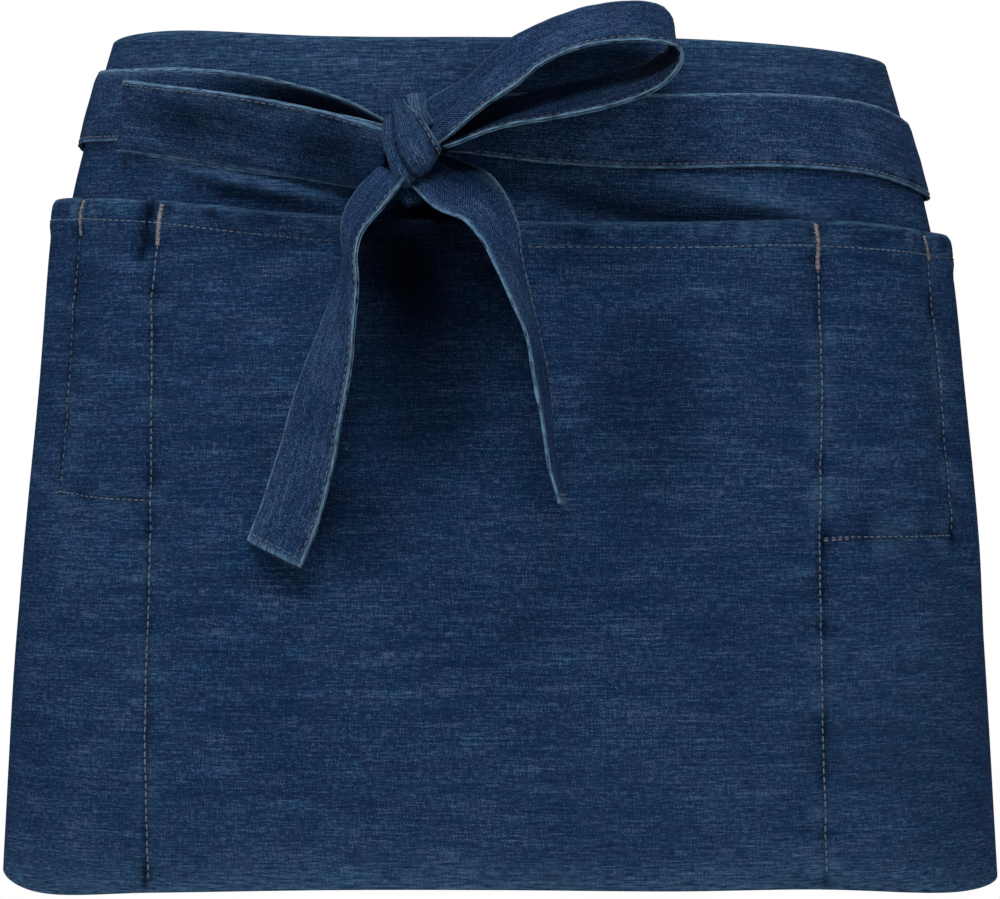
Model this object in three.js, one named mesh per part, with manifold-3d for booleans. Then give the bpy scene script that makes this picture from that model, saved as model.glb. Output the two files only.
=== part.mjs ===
// Denim waist apron, as it is worn: the cloth wraps the front and sides, and the ties, brought round from
// the back, make a bow at the front. Millimetres, +Z up. The front faces -Y, and the origin is the middle
// of the waist at the height of the ties.

import * as THREE from "three";
import { mergeVertices } from "three/addons/utils/BufferGeometryUtils.js";
import Module from "manifold-3d";

// Cloth
const CLOTH = 1.2; // one layer of denim
const PANEL_WIDTH = 710; // flat width of the panel and of the pocket layer
const PANEL_MIDDLE = -7; // where the middle of the cloth lies, along the waist from the front centre
const WAIST_HEM = 9; // turned hem along the top edge
const MOUTH_HEM = 9.5; // turned hem along the mouth of the pocket
const HEM_STEP = 1.5; // height over which the second layer of a hem ends
const LAYER_ROOM = 0.5; // room between the two layers where they are sewn or turned up
const SEAM_REACH = 14; // distance from a row of stitching over which the pocket is drawn in
const PIECE_GAP = 0.35; // clearance between pieces that touch

// Ties
const TIE_WIDTH = 29;
const TIE_THICK = 2.2; // folded to several layers and stitched

// Fineness of the surfaces
const COLUMNS = 46; // across the panel and the pocket
const FOLDED_ROWS = 13; // down the panel, from its top edge to below the drag folds
const PLAIN_ROWS = 6; // down the rest of the panel
const POCKET_ROWS = 8; // down the pocket below its hem
const TURN_STEPS = 4; // round the turned-up lower edge
const TIE_STRIDE = 12; // along a tie
const STRIP_STEPS = 3; // between two rows of a route
const ANGLE_STEP = Math.PI / 720; // for measuring along an oval
const FOLD_END = -60; // height below which the panel hangs plain
const BEND_STEP = 45; // degrees of a rolled section for each of its flats

const PANEL_BLUE = 0x1f324e;
const TIE_BLUE = 0x253350;

// The worn form: half the breadth and half the depth of the oval that the cloth follows at each height
const WORN_FORM = [
  { z: -310, halfWidth: 206, halfDepth: 132 },
  { z: -190, halfWidth: 197, halfDepth: 127 },
  { z: -100, halfWidth: 187.5, halfDepth: 122 },
  { z: -40, halfWidth: 180.6, halfDepth: 119 },
  { z: 0, halfWidth: 171, halfDepth: 116 },
  { z: 44, halfWidth: 158.5, halfDepth: 112 },
];

// Heights of the cloth's edges at distances u along the waist from the front centre, and the room that the
// mouth of the pocket leaves behind it there
const EDGES = [
  { u: -362, top: 38, mouth: -26, hem: -303, room: 0.5 },
  { u: -269, top: 38.5, mouth: -26.5, hem: -306, room: 4.6 },
  { u: -209, top: 40.3, mouth: -25.8, hem: -312.5, room: 4.6 },
  { u: -146, top: 41.6, mouth: -28.5, hem: -309.7, room: 5 },
  { u: -70, top: 37, mouth: -35.6, hem: -307, room: 8 },
  { u: 0, top: 36, mouth: -38.5, hem: -306.5, room: 9 },
  { u: 70, top: 36.2, mouth: -38.8, hem: -307.5, room: 8 },
  { u: 132, top: 34.5, mouth: -36.8, hem: -308, room: 5 },
  { u: 208, top: 31, mouth: -40, hem: -312, room: 4.8 },
  { u: 269, top: 30, mouth: -42, hem: -309, room: 4.8 },
  { u: 348, top: 34, mouth: -44, hem: -305, room: 0.5 },
];

// Rows of stitching that hold the pocket to the panel: two dividers, the tool pockets beside them, the sides
const SEAMS = [
  { u0: -146, z0: -20, u1: -146, z1: -312 },
  { u0: 132, z0: -30, u1: 132, z1: -312 },
  { u0: -191, z0: -20, u1: -199, z1: -147 },
  { u0: -199, z0: -147, u1: -146, z1: -150 },
  { u0: 197, z0: -34, u1: 208, z1: -165 },
  { u0: 208, z0: -165, u1: 132, z1: -166 },
  { u0: -362, z0: -20, u1: -362, z1: -312 },
  { u0: 348, z0: -40, u1: 348, z1: -312 },
];

// Folds that the pull of the ties draws in the panel, between the ties and the pocket
const DRAG_FOLDS = [
  { u0: -150, z0: -13, u1: -72, z1: -28, reach: 5, height: 2.2 },
  { u0: -132, z0: -24, u1: -66, z1: -39, reach: 5, height: -1.6 },
  { u0: 36, z0: -20, u1: 104, z1: -31, reach: 5, height: 2.2 },
  { u0: 20, z0: -33, u1: 110, z1: -44, reach: 6, height: -2 },
];

// Routes of the two ties: height of the middle, distance from the worn form, and width, from the knot to the
// sewn end on the panel's far corner (right tie) and from the sewn end to the knot (left tie)
const RIGHT_TIE = [
  { u: -20, z: 0, off: 4.6, width: 18 },
  { u: -8, z: 2, off: 3.6, width: 23 },
  { u: 22, z: 0.8, off: 3.4, width: 27.5 },
  { u: 60, z: -0.8, off: 3.4, width: TIE_WIDTH },
  { u: 119, z: 0.6, off: 3.4, width: TIE_WIDTH },
  { u: 166, z: -1.2, off: 3.4, width: TIE_WIDTH },
  { u: 216, z: -7.2, off: 3.4, width: TIE_WIDTH },
  { u: 280, z: -10, off: 3.4, width: TIE_WIDTH },
  { u: 348, z: -11.5, off: 3.6, width: TIE_WIDTH },
  { u: 374, z: -10.5, off: 4.6, width: TIE_WIDTH },
  { u: 402, z: -5, off: 5.4, width: TIE_WIDTH },
  { u: 455, z: 5, off: 5.6, width: TIE_WIDTH },
  { u: 500, z: 14, off: 5.4, width: TIE_WIDTH },
  { u: 524, z: 19.5, off: 4.2, width: TIE_WIDTH },
  { u: 540, z: 21, off: 3.4, width: TIE_WIDTH },
  { u: 558, z: 21.5, off: 3.1, width: TIE_WIDTH },
];
const LEFT_TIE = [
  { u: -566, z: 19, off: 3.2, width: TIE_WIDTH },
  { u: -534, z: 18.5, off: 3.2, width: TIE_WIDTH },
  { u: -512, z: 14, off: 2.9, width: TIE_WIDTH },
  { u: -490, z: 9, off: 2, width: TIE_WIDTH },
  { u: -455, z: 3, off: 1.8, width: TIE_WIDTH },
  { u: -410, z: -6.5, off: 2.1, width: TIE_WIDTH },
  { u: -386, z: -10.5, off: 2.7, width: TIE_WIDTH },
  { u: -362, z: -11.5, off: 3.6, width: TIE_WIDTH },
  { u: -300, z: 2, off: 3.4, width: TIE_WIDTH },
  { u: -228, z: 12.6, off: 3.4, width: TIE_WIDTH },
  { u: -174, z: 12.8, off: 3.4, width: TIE_WIDTH },
  { u: -116, z: 10, off: 3.4, width: TIE_WIDTH },
  { u: -79, z: 3, off: 3.5, width: 28 },
  { u: -62, z: -2, off: 3.8, width: 26 },
  { u: -46, z: -7, off: 4.6, width: 20 },
  { u: -38, z: -8, off: 5.2, width: 17 },
];

// The left loop lies flat along the waist: out from the knot, round a tight turn, and back in front of itself
const LEFT_LOOP = [
  { u: -42, z: -10, off: 7.2, width: 20 },
  { u: -62, z: -7, off: 6.8, width: 26 },
  { u: -100, z: -1.2, off: 6.6, width: TIE_WIDTH },
  { u: -140, z: 4.6, off: 6.6, width: TIE_WIDTH },
  { u: -160, z: 7.6, off: 6.7, width: TIE_WIDTH },
  { u: -165.5, z: 8.2, off: 7.6, width: TIE_WIDTH },
  { u: -167.4, z: 8.3, off: 9.6, width: TIE_WIDTH },
  { u: -165.5, z: 8.2, off: 11.6, width: TIE_WIDTH },
  { u: -160, z: 7.4, off: 12.6, width: TIE_WIDTH },
  { u: -130, z: 3.4, off: 13.6, width: TIE_WIDTH },
  { u: -98, z: -1.5, off: 14, width: TIE_WIDTH },
  { u: -71, z: -7, off: 14, width: 28.5 },
  { u: -54, z: -11, off: 13.4, width: 26 },
  { u: -44, z: -12.5, off: 12.6, width: 22 },
];
const LEFT_LOOP_TILT = THREE.MathUtils.degToRad(-9.5); // how the loop slopes down towards the knot

// Free strips of tie: middle, direction across, width, and the angle that the section bends through
const RIGHT_LOOP = [
  { x: -28.6, y: -126, z: 1.6, ax: -0.4, ay: 0.62, az: 0.68, width: 22, bend: 30 },
  { x: -12.6, y: -132, z: 12.4, ax: -0.33, ay: 0.87, az: 0.37, width: 28, bend: 12 },
  { x: 1.8, y: -135, z: 23.6, ax: -0.36, ay: 0.84, az: 0.41, width: TIE_WIDTH, bend: 8 },
  { x: 13, y: -137, z: 32, ax: -0.36, ay: 0.84, az: 0.4, width: TIE_WIDTH, bend: 8 },
  { x: 31, y: -138, z: 39.5, ax: -0.2, ay: 0.85, az: 0.49, width: TIE_WIDTH, bend: 8 },
  { x: 50, y: -138, z: 42.4, ax: -0.16, ay: 0.84, az: 0.52, width: TIE_WIDTH, bend: 8 },
  { x: 62, y: -137, z: 41.6, ax: -0.12, ay: 0.85, az: 0.51, width: TIE_WIDTH, bend: 8 },
  { x: 68.8, y: -136, z: 37.4, ax: -0.12, ay: 0.88, az: 0.46, width: TIE_WIDTH, bend: 6 },
  { x: 71.4, y: -135, z: 32.2, ax: -0.08, ay: 0.91, az: 0.41, width: TIE_WIDTH, bend: 4 },
  { x: 69.8, y: -135, z: 26.8, ax: -0.08, ay: 0.91, az: 0.41, width: TIE_WIDTH, bend: 4 },
  { x: 60.8, y: -135, z: 20, ax: -0.1, ay: 0.91, az: 0.41, width: TIE_WIDTH, bend: 4 },
  { x: 46.5, y: -135, z: 14.8, ax: -0.11, ay: 0.89, az: 0.44, width: TIE_WIDTH, bend: 4 },
  { x: 22.5, y: -134, z: 9.4, ax: -0.11, ay: 0.9, az: 0.43, width: 28, bend: 4 },
  { x: -1.6, y: -131, z: 3.8, ax: -0.11, ay: 0.91, az: 0.4, width: 25, bend: 8 },
  { x: -22, y: -127, z: -4.6, ax: -0.1, ay: 0.93, az: 0.36, width: 20, bend: 16 },
];
const LEFT_END = [
  { x: -44.6, y: -130, z: -18, ax: 0.42, ay: -0.77, az: -0.49, width: 18, bend: 30 },
  { x: -52.2, y: -133, z: -27.4, ax: 0.31, ay: -0.82, az: -0.48, width: 23, bend: 20 },
  { x: -58, y: -137, z: -38.4, ax: 0.26, ay: -0.9, az: -0.35, width: 27, bend: 12 },
  { x: -60.6, y: -139.5, z: -50, ax: 0.16, ay: -0.97, az: -0.17, width: TIE_WIDTH, bend: 8 },
  { x: -61.4, y: -139, z: -61.8, ax: 0.24, ay: -0.95, az: -0.19, width: TIE_WIDTH, bend: 6 },
  { x: -64.2, y: -138, z: -74.8, ax: 0.37, ay: -0.9, az: -0.23, width: TIE_WIDTH, bend: 6 },
  { x: -68.2, y: -136, z: -93.2, ax: 0.57, ay: -0.8, az: -0.2, width: TIE_WIDTH, bend: 6 },
  { x: -73.4, y: -134, z: -113.2, ax: 0.68, ay: -0.72, az: -0.15, width: TIE_WIDTH, bend: 6 },
  { x: -78.8, y: -131.5, z: -135.4, ax: 0.77, ay: -0.63, az: -0.12, width: TIE_WIDTH, bend: 6 },
  { x: -84.4, y: -129, z: -154.6, ax: 0.8, ay: -0.57, az: -0.18, width: TIE_WIDTH, bend: 6 },
  { x: -90.8, y: -127, z: -171, ax: 0.76, ay: -0.59, az: -0.27, width: TIE_WIDTH, bend: 6 },
];
const RIGHT_END = [
  { x: -29.2, y: -127.5, z: -16.8, ax: 0.52, ay: 0.54, az: 0.66, width: 20, bend: 30 },
  { x: -21.6, y: -131, z: -21.2, ax: 0.5, ay: 0.6, az: 0.63, width: 26, bend: 20 },
  { x: -13.2, y: -136.5, z: -27, ax: 0.39, ay: 0.67, az: 0.63, width: TIE_WIDTH, bend: 14 },
  { x: -5.4, y: -142, z: -34.8, ax: 0.32, ay: 0.82, az: 0.48, width: TIE_WIDTH, bend: 10 },
  { x: -0.6, y: -146.5, z: -43.4, ax: 0.32, ay: 0.85, az: 0.41, width: TIE_WIDTH, bend: 8 },
  { x: 3, y: -149, z: -53.4, ax: 0.28, ay: 0.9, az: 0.33, width: TIE_WIDTH, bend: 6 },
  { x: 7.4, y: -149.5, z: -65.8, ax: 0.23, ay: 0.94, az: 0.22, width: TIE_WIDTH, bend: 6 },
  { x: 12.8, y: -149.5, z: -82.6, ax: 0.17, ay: 0.98, az: 0.09, width: TIE_WIDTH, bend: 6 },
  { x: 16.2, y: -149.5, z: -100.2, ax: 0.2, ay: 0.98, az: 0.03, width: TIE_WIDTH, bend: 6 },
  { x: 18.6, y: -150, z: -116.2, ax: 0.15, ay: 0.99, az: 0.03, width: TIE_WIDTH, bend: 6 },
  { x: 20.8, y: -150.5, z: -132.2, ax: 0.11, ay: 0.99, az: 0.03, width: TIE_WIDTH, bend: 6 },
  { x: 25.2, y: -151, z: -150.4, ax: 0.08, ay: 0.99, az: 0.04, width: TIE_WIDTH, bend: 6 },
];

// The knot: a rolled wrap over its front, a second one beside it, a fold below, and the bundle inside
const FRONT_WRAP = [
  { x: -39.6, y: -121, z: 9.4, ax: 0.93, ay: 0, az: 0.36, width: 20, bend: 120 },
  { x: -38, y: -132, z: 5.4, ax: 0.93, ay: 0, az: 0.36, width: 22, bend: 130 },
  { x: -35.2, y: -138, z: -1, ax: 0.93, ay: 0, az: 0.36, width: 23, bend: 130 },
  { x: -32, y: -139.5, z: -8.2, ax: 0.93, ay: 0, az: 0.36, width: 23, bend: 130 },
  { x: -29.4, y: -136, z: -14.6, ax: 0.93, ay: 0, az: 0.36, width: 21, bend: 130 },
  { x: -29.4, y: -125, z: -18.6, ax: 0.93, ay: 0, az: 0.36, width: 18, bend: 120 },
];
const SIDE_WRAP = [
  { x: -43.4, y: -122, z: 1.4, ax: 0.98, ay: 0, az: -0.2, width: 13, bend: 120 },
  { x: -44.8, y: -131, z: -4.6, ax: 0.98, ay: 0, az: 0.05, width: 14, bend: 120 },
  { x: -43, y: -134.5, z: -12.4, ax: 0.95, ay: 0, az: 0.3, width: 14, bend: 120 },
  { x: -39.6, y: -132, z: -20, ax: 0.92, ay: 0, az: 0.4, width: 13, bend: 120 },
  { x: -37, y: -122.5, z: -23.6, ax: 0.9, ay: 0, az: 0.4, width: 12, bend: 110 },
];
const LOWER_FOLD = [
  { x: -42.5, y: -122, z: -22.5, ax: 0.2, ay: 0, az: 0.98, width: 9, bend: 100 },
  { x: -37, y: -127.5, z: -27.4, ax: 0, ay: 0, az: 1, width: 10, bend: 110 },
  { x: -31, y: -122, z: -25.5, ax: -0.2, ay: 0, az: 0.98, width: 9, bend: 100 },
];
const BUNDLE = { x: -36.5, y: -125, z: -9, halfWidth: 9, halfDepth: 7, halfHeight: 16, sides: 14, rings: 9 };

const wasm = await Module();
wasm.setup();

// Every column of a table read at one place between its rows, on a smooth curve that passes through them all
function readRow(rows, place, key) {
  const last = rows.length - 1;
  const knot = (k) => (key ? rows[k][key] : k);
  const within = THREE.MathUtils.clamp(place, knot(0), knot(last));
  let k = 0;
  while (k < last - 1 && within > knot(k + 1)) k += 1;
  const span = knot(k + 1) - knot(k);
  const t = (within - knot(k)) / span;
  const read = {};
  for (const column of Object.keys(rows[0])) {
    const slope = (m) => {
      const before = Math.max(m - 1, 0);
      const after = Math.min(m + 1, last);
      return (rows[after][column] - rows[before][column]) / (knot(after) - knot(before));
    };
    const rise = rows[k + 1][column] - rows[k][column];
    const startBow = t * (1 - t) * (1 - t) * (slope(k) * span - rise);
    const endBow = t * t * (1 - t) * (rise - slope(k + 1) * span);
    read[column] = rows[k][column] + t * rise + startBow + endBow;
  }
  return read;
}

// Angle round an oval at which the run along it from the front centre is u
function angleAt(u, halfWidth, halfDepth) {
  let angle = 0;
  let run = 0;
  for (;;) {
    const middle = angle + ANGLE_STEP / 2;
    const speed = Math.hypot(halfWidth * Math.cos(middle), halfDepth * Math.sin(middle));
    const rest = Math.abs(u) - run;
    if (rest <= speed * ANGLE_STEP) return Math.sign(u) * (angle + rest / speed);
    angle += ANGLE_STEP;
    run += speed * ANGLE_STEP;
  }
}

// The point u along the worn form at height z, standing off it by the given distance
function onForm(u, z, off) {
  const { halfWidth, halfDepth } = readRow(WORN_FORM, z, "z");
  const angle = angleAt(u, halfWidth, halfDepth);
  const outward = new THREE.Vector2(Math.sin(angle) / halfWidth, -Math.cos(angle) / halfDepth).normalize();
  const x = halfWidth * Math.sin(angle) + off * outward.x;
  const y = -halfDepth * Math.cos(angle) + off * outward.y;
  return new THREE.Vector3(x, y, z);
}

// Distance on the cloth from a place to a line drawn on it, such as a seam or a fold
function distanceTo({ u0, z0, u1, z1 }, u, z) {
  const line = new THREE.Line3(new THREE.Vector3(u0, z0, 0), new THREE.Vector3(u1, z1, 0));
  const place = new THREE.Vector3(u, z, 0);
  return line.closestPointToPoint(place, true, new THREE.Vector3()).distanceTo(place);
}

// How far the drag folds lift the panel off the worn form
function foldLift(u, z) {
  const lift = (sum, fold) => sum + fold.height * Math.exp(-((distanceTo(fold, u, z) / fold.reach) ** 2));
  return DRAG_FOLDS.reduce(lift, 0);
}

// Room between panel and pocket: widest at the mouth, closing towards the hem and at every seam
function pocketRoom(u, z) {
  const { mouth, hem, room } = readRow(EDGES, u, "u");
  const openness = THREE.MathUtils.clamp((z - hem) / (mouth - hem), 0, 1);
  const pull = (share, seam) => share * (1 - Math.exp(-((distanceTo(seam, u, z) / SEAM_REACH) ** 2)));
  return LAYER_ROOM + (room - LAYER_ROOM) * openness * SEAMS.reduce(pull, 1);
}

// A closed wall between two grids of points that have the same rows and columns
function wall(outer, inner) {
  const lastRow = outer.length - 1;
  const lastColumn = outer[0].length - 1;
  const at = (side, row, column) => (side * (lastRow + 1) + row) * (lastColumn + 1) + column;
  const index = [];
  const quad = (a, b, c, d) => index.push(a, b, c, a, c, d);
  for (let row = 0; row < lastRow; row += 1) {
    for (let column = 0; column < lastColumn; column += 1) {
      const [r, c] = [row + 1, column + 1];
      quad(at(0, row, column), at(0, r, column), at(0, r, c), at(0, row, c));
      quad(at(1, row, column), at(1, row, c), at(1, r, c), at(1, r, column));
    }
  }
  for (let column = 0; column < lastColumn; column += 1) {
    const c = column + 1;
    quad(at(0, 0, column), at(0, 0, c), at(1, 0, c), at(1, 0, column));
    quad(at(0, lastRow, column), at(1, lastRow, column), at(1, lastRow, c), at(0, lastRow, c));
  }
  for (let row = 0; row < lastRow; row += 1) {
    const r = row + 1;
    quad(at(0, row, 0), at(1, row, 0), at(1, r, 0), at(0, r, 0));
    quad(at(0, row, lastColumn), at(0, r, lastColumn), at(1, r, lastColumn), at(1, row, lastColumn));
  }
  const geometry = new THREE.BufferGeometry().setFromPoints([...outer.flat(), ...inner.flat()]);
  geometry.setIndex(index);
  return geometry;
}

const columnPlaces = Array.from(
  { length: COLUMNS + 1 },
  (_, k) => PANEL_MIDDLE + PANEL_WIDTH * (k / COLUMNS - 0.5),
);
const turnRadius = CLOTH + LAYER_ROOM / 2; // outside of the turned-up lower edge

// The rear layer, from the waist hem to just above the turn at the lower edge
function apronPanel() {
  const outer = [];
  const inner = [];
  const addRow = (heightAt, layers) => {
    const places = columnPlaces.map((u) => ({ u, z: heightAt(readRow(EDGES, u, "u")) }));
    outer.push(places.map(({ u, z }) => onForm(u, z, foldLift(u, z) + CLOTH)));
    inner.push(places.map(({ u, z }) => onForm(u, z, foldLift(u, z) - CLOTH * (layers - 1))));
  };
  const hemEnd = WAIST_HEM + HEM_STEP;
  addRow(({ top }) => top, 2);
  addRow(({ top }) => top - WAIST_HEM, 2);
  for (let k = 0; k < FOLDED_ROWS; k += 1) {
    addRow(({ top }) => THREE.MathUtils.lerp(top - hemEnd, FOLD_END, k / FOLDED_ROWS), 1);
  }
  for (let k = 0; k <= PLAIN_ROWS; k += 1) {
    addRow(({ hem }) => THREE.MathUtils.lerp(FOLD_END, hem + turnRadius + PIECE_GAP, k / PLAIN_ROWS), 1);
  }
  return wall(outer, inner);
}

// The front layer, from its hemmed mouth down to the lower edge and round the turn to the panel
function pocketPanel() {
  const outer = [];
  const inner = [];
  const addRow = (heightAt, layers) => {
    const places = columnPlaces.map((u) => ({ u, z: heightAt(readRow(EDGES, u, "u")) }));
    const back = ({ u, z }) => CLOTH + pocketRoom(u, z);
    outer.push(places.map((place) => onForm(place.u, place.z, back(place) + CLOTH * layers)));
    inner.push(places.map((place) => onForm(place.u, place.z, back(place))));
  };
  addRow(({ mouth }) => mouth, 2);
  addRow(({ mouth }) => mouth - MOUTH_HEM, 2);
  for (let k = 0; k <= POCKET_ROWS; k += 1) {
    const between = ({ mouth, hem }) =>
      THREE.MathUtils.lerp(mouth - MOUTH_HEM - HEM_STEP, hem + turnRadius, k / POCKET_ROWS);
    addRow(between, 1);
  }
  for (let k = 1; k <= TURN_STEPS; k += 1) {
    const turn = (Math.PI * k) / TURN_STEPS;
    const aroundTurn = (radius) =>
      columnPlaces.map((u) => {
        const { hem } = readRow(EDGES, u, "u");
        const z = hem + turnRadius - radius * Math.sin(turn);
        return onForm(u, z, turnRadius + radius * Math.cos(turn));
      });
    outer.push(aroundTurn(turnRadius));
    inner.push(aroundTurn(turnRadius - CLOTH));
  }
  return wall(outer, inner);
}

// A strip of tie that lies along the worn form, read along its route by u or by the number of the row
function laidStrip(route, { key, count, tilt, grow = 0 }) {
  const first = key ? route[0][key] : 0;
  const last = key ? route.at(-1)[key] : route.length - 1;
  const nudge = (last - first) / count / 10;
  const halfThick = TIE_THICK / 2 + grow;
  const outer = [];
  const inner = [];
  for (let k = 0; k <= count; k += 1) {
    const place = THREE.MathUtils.lerp(first, last, k / count);
    const { u, z, off, width } = readRow(route, place, key);
    const before = readRow(route, place - nudge, key);
    const after = readRow(route, place + nudge, key);
    const along = new THREE.Vector2(after.u - before.u, after.off - before.off).normalize();
    const lean = tilt ?? Math.atan2(after.z - before.z, after.u - before.u);
    const reach = width / 2 + grow;
    const edge = (v, out) =>
      onForm(u - v * Math.sin(lean) - out * along.y, z + v * Math.cos(lean), off + out * along.x);
    outer.push([-reach, 0, reach].map((v) => edge(v, halfThick)));
    inner.push([-reach, 0, reach].map((v) => edge(v, -halfThick)));
  }
  return wall(outer, inner);
}

// A tie on the waist, between the knot and its sewn end
function waistTie(route, grow) {
  const count = Math.round((route.at(-1).u - route[0].u) / TIE_STRIDE);
  return laidStrip(route, { key: "u", count, grow });
}

// The flat loop, which turns back in front of itself
function flatLoop(route, grow) {
  return laidStrip(route, { count: (route.length - 1) * STRIP_STEPS, tilt: LEFT_LOOP_TILT, grow });
}

// A strip of tie that runs free in space, its section bent to an arc where it is rolled
function freeStrip(route, grow = 0) {
  const last = route.length - 1;
  const tightest = Math.max(...route.map(({ bend }) => bend));
  const segments = Math.max(2, Math.ceil(tightest / BEND_STEP));
  const shares = Array.from({ length: segments + 1 }, (_, k) => k / segments - 0.5);
  const middleAt = (place) => {
    const { x, y, z } = readRow(route, place);
    return new THREE.Vector3(x, y, z);
  };
  const outer = [];
  const inner = [];
  for (let k = 0; k <= last * STRIP_STEPS; k += 1) {
    const place = k / STRIP_STEPS;
    const { ax, ay, az, width, bend } = readRow(route, place);
    const ahead = middleAt(Math.min(place + 0.1, last));
    const along = ahead.sub(middleAt(Math.max(place - 0.1, 0))).normalize();
    const sideways = new THREE.Vector3(ax, ay, az);
    sideways.addScaledVector(along, -sideways.dot(along)).normalize();
    const facing = new THREE.Vector3().crossVectors(along, sideways);
    const bendAngle = THREE.MathUtils.degToRad(bend);
    const radius = (width + 2 * grow) / bendAngle;
    const sectionPoint = (share, out) =>
      middleAt(place)
        .addScaledVector(sideways, (radius + out) * Math.sin(share * bendAngle))
        .addScaledVector(facing, (radius + out) * Math.cos(share * bendAngle) - radius);
    outer.push(shares.map((share) => sectionPoint(share, TIE_THICK / 2 + grow)));
    inner.push(shares.map((share) => sectionPoint(share, -TIE_THICK / 2 - grow)));
  }
  return wall(outer, inner);
}

// Solids for joining and cutting
function solidOf(geometry) {
  geometry.deleteAttribute("normal");
  geometry.deleteAttribute("uv");
  const merged = mergeVertices(geometry);
  const vertProperties = new Float32Array(merged.attributes.position.array);
  const triVerts = new Uint32Array(merged.index.array);
  return new wasm.Manifold(new wasm.Mesh({ numProp: 3, vertProperties, triVerts }));
}

function geometryOf(solid) {
  const { vertProperties, triVerts } = solid.getMesh();
  const geometry = new THREE.BufferGeometry();
  geometry.setAttribute("position", new THREE.BufferAttribute(vertProperties, 3));
  geometry.setIndex(new THREE.BufferAttribute(triVerts, 1));
  return geometry;
}

// The knot's wraps and the bundle inside them, joined to one solid
function knotSolid(grow) {
  const { x, y, z, halfWidth, halfDepth, halfHeight, sides, rings } = BUNDLE;
  const bundle = new THREE.SphereGeometry(1, sides, rings);
  bundle.scale(halfWidth + grow, halfDepth + grow, halfHeight + grow);
  bundle.translate(x, y, z);
  const wraps = [FRONT_WRAP, SIDE_WRAP, LOWER_FOLD].map((route) => solidOf(freeStrip(route, grow)));
  return wraps.reduce((knot, wrap) => knot.add(wrap), solidOf(bundle));
}

// A strip with room cut into it for the pieces that it passes, kept as the one length that shows
function cutClear(strip, neighbours) {
  const cut = neighbours.reduce((rest, neighbour) => rest.subtract(neighbour), strip);
  const lengths = cut.decompose();
  return lengths.reduce((longest, length) => (length.volume() > longest.volume() ? length : longest));
}

// The bow's strips in the order in which they give way: each is cut clear of the knot and of those before it
const BOW_STRIPS = [
  { name: "tie_end_left", shape: freeStrip, route: LEFT_END },
  { name: "tie_end_right", shape: freeStrip, route: RIGHT_END },
  { name: "bow_loop_right", shape: freeStrip, route: RIGHT_LOOP },
  { name: "bow_loop_left", shape: flatLoop, route: LEFT_LOOP },
  { name: "waist_tie_left", shape: waistTie, route: LEFT_TIE },
  { name: "waist_tie_right", shape: waistTie, route: RIGHT_TIE },
];

const apron = new THREE.Group();

// Denim: matte, with no shine of its own
function addPiece(name, geometry, color) {
  const denim = new THREE.MeshStandardMaterial({ color, roughness: 0.9, metalness: 0 });
  const mesh = new THREE.Mesh(geometry, denim);
  mesh.name = name;
  apron.add(mesh);
}

addPiece("apron_panel", apronPanel(), PANEL_BLUE);
addPiece("pocket_panel", pocketPanel(), PANEL_BLUE);
addPiece("bow_knot", geometryOf(knotSolid(0)), TIE_BLUE);
const inTheWay = [knotSolid(PIECE_GAP)];
for (const { name, shape, route } of BOW_STRIPS) {
  addPiece(name, geometryOf(cutClear(solidOf(shape(route, 0)), inTheWay)), TIE_BLUE);
  inTheWay.push(solidOf(shape(route, PIECE_GAP)));
}

export default apron;
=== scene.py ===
# %% [markdown]
# # A denim waist apron
# The object is a short waist apron of washed indigo denim, tied round a waist with a bow at its front.
# The shared frame holds a plain solid for each piece. Every solid is replaced here by a finer mesh of the
# same form, so the first cell loads that frame.

import math

import bpy
import numpy as np
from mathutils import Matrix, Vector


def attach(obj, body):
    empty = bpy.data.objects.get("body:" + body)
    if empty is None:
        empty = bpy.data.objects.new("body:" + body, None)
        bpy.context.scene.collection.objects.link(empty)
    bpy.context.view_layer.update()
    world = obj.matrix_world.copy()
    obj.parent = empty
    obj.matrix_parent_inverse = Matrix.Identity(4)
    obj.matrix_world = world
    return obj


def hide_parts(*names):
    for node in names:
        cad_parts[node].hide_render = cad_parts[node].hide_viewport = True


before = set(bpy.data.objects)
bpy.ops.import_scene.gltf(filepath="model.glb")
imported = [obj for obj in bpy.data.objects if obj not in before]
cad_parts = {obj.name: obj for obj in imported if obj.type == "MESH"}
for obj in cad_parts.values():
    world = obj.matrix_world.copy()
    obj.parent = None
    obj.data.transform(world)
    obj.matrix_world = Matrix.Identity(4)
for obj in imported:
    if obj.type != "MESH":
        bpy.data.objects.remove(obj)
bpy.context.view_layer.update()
print("nodes:", sorted(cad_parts))

# %% [markdown]
# ## The shape that the cloth follows
# A worn apron has no shape of its own: it takes that of the waist and hips under it. That shape is an oval at
# each height, so a place on the cloth needs only three numbers: u, the distance along the waist from the
# front centre, z, the height, and off, how far it stands off the oval. All sizes are in millimetres until a
# mesh is made. Drawing on the flat cloth like this keeps seams, hems and folds easy to place.

# %% Sizes of the cloth, and the worn form
CLOTH = 1.2
PANEL_WIDTH = 710
PANEL_MIDDLE = -7
LAYER_ROOM = 0.5
PIECE_GAP = 0.35
WORN_FORM = {
    "z": [-310, -190, -100, -40, 0, 44],
    "half_width": [206, 197, 187.5, 180.6, 171, 158.5],
    "half_depth": [132, 127, 122, 119, 116, 112],
    "middle": [0, 0, 0, -0.6, -1.4, -1.6],
}


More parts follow.
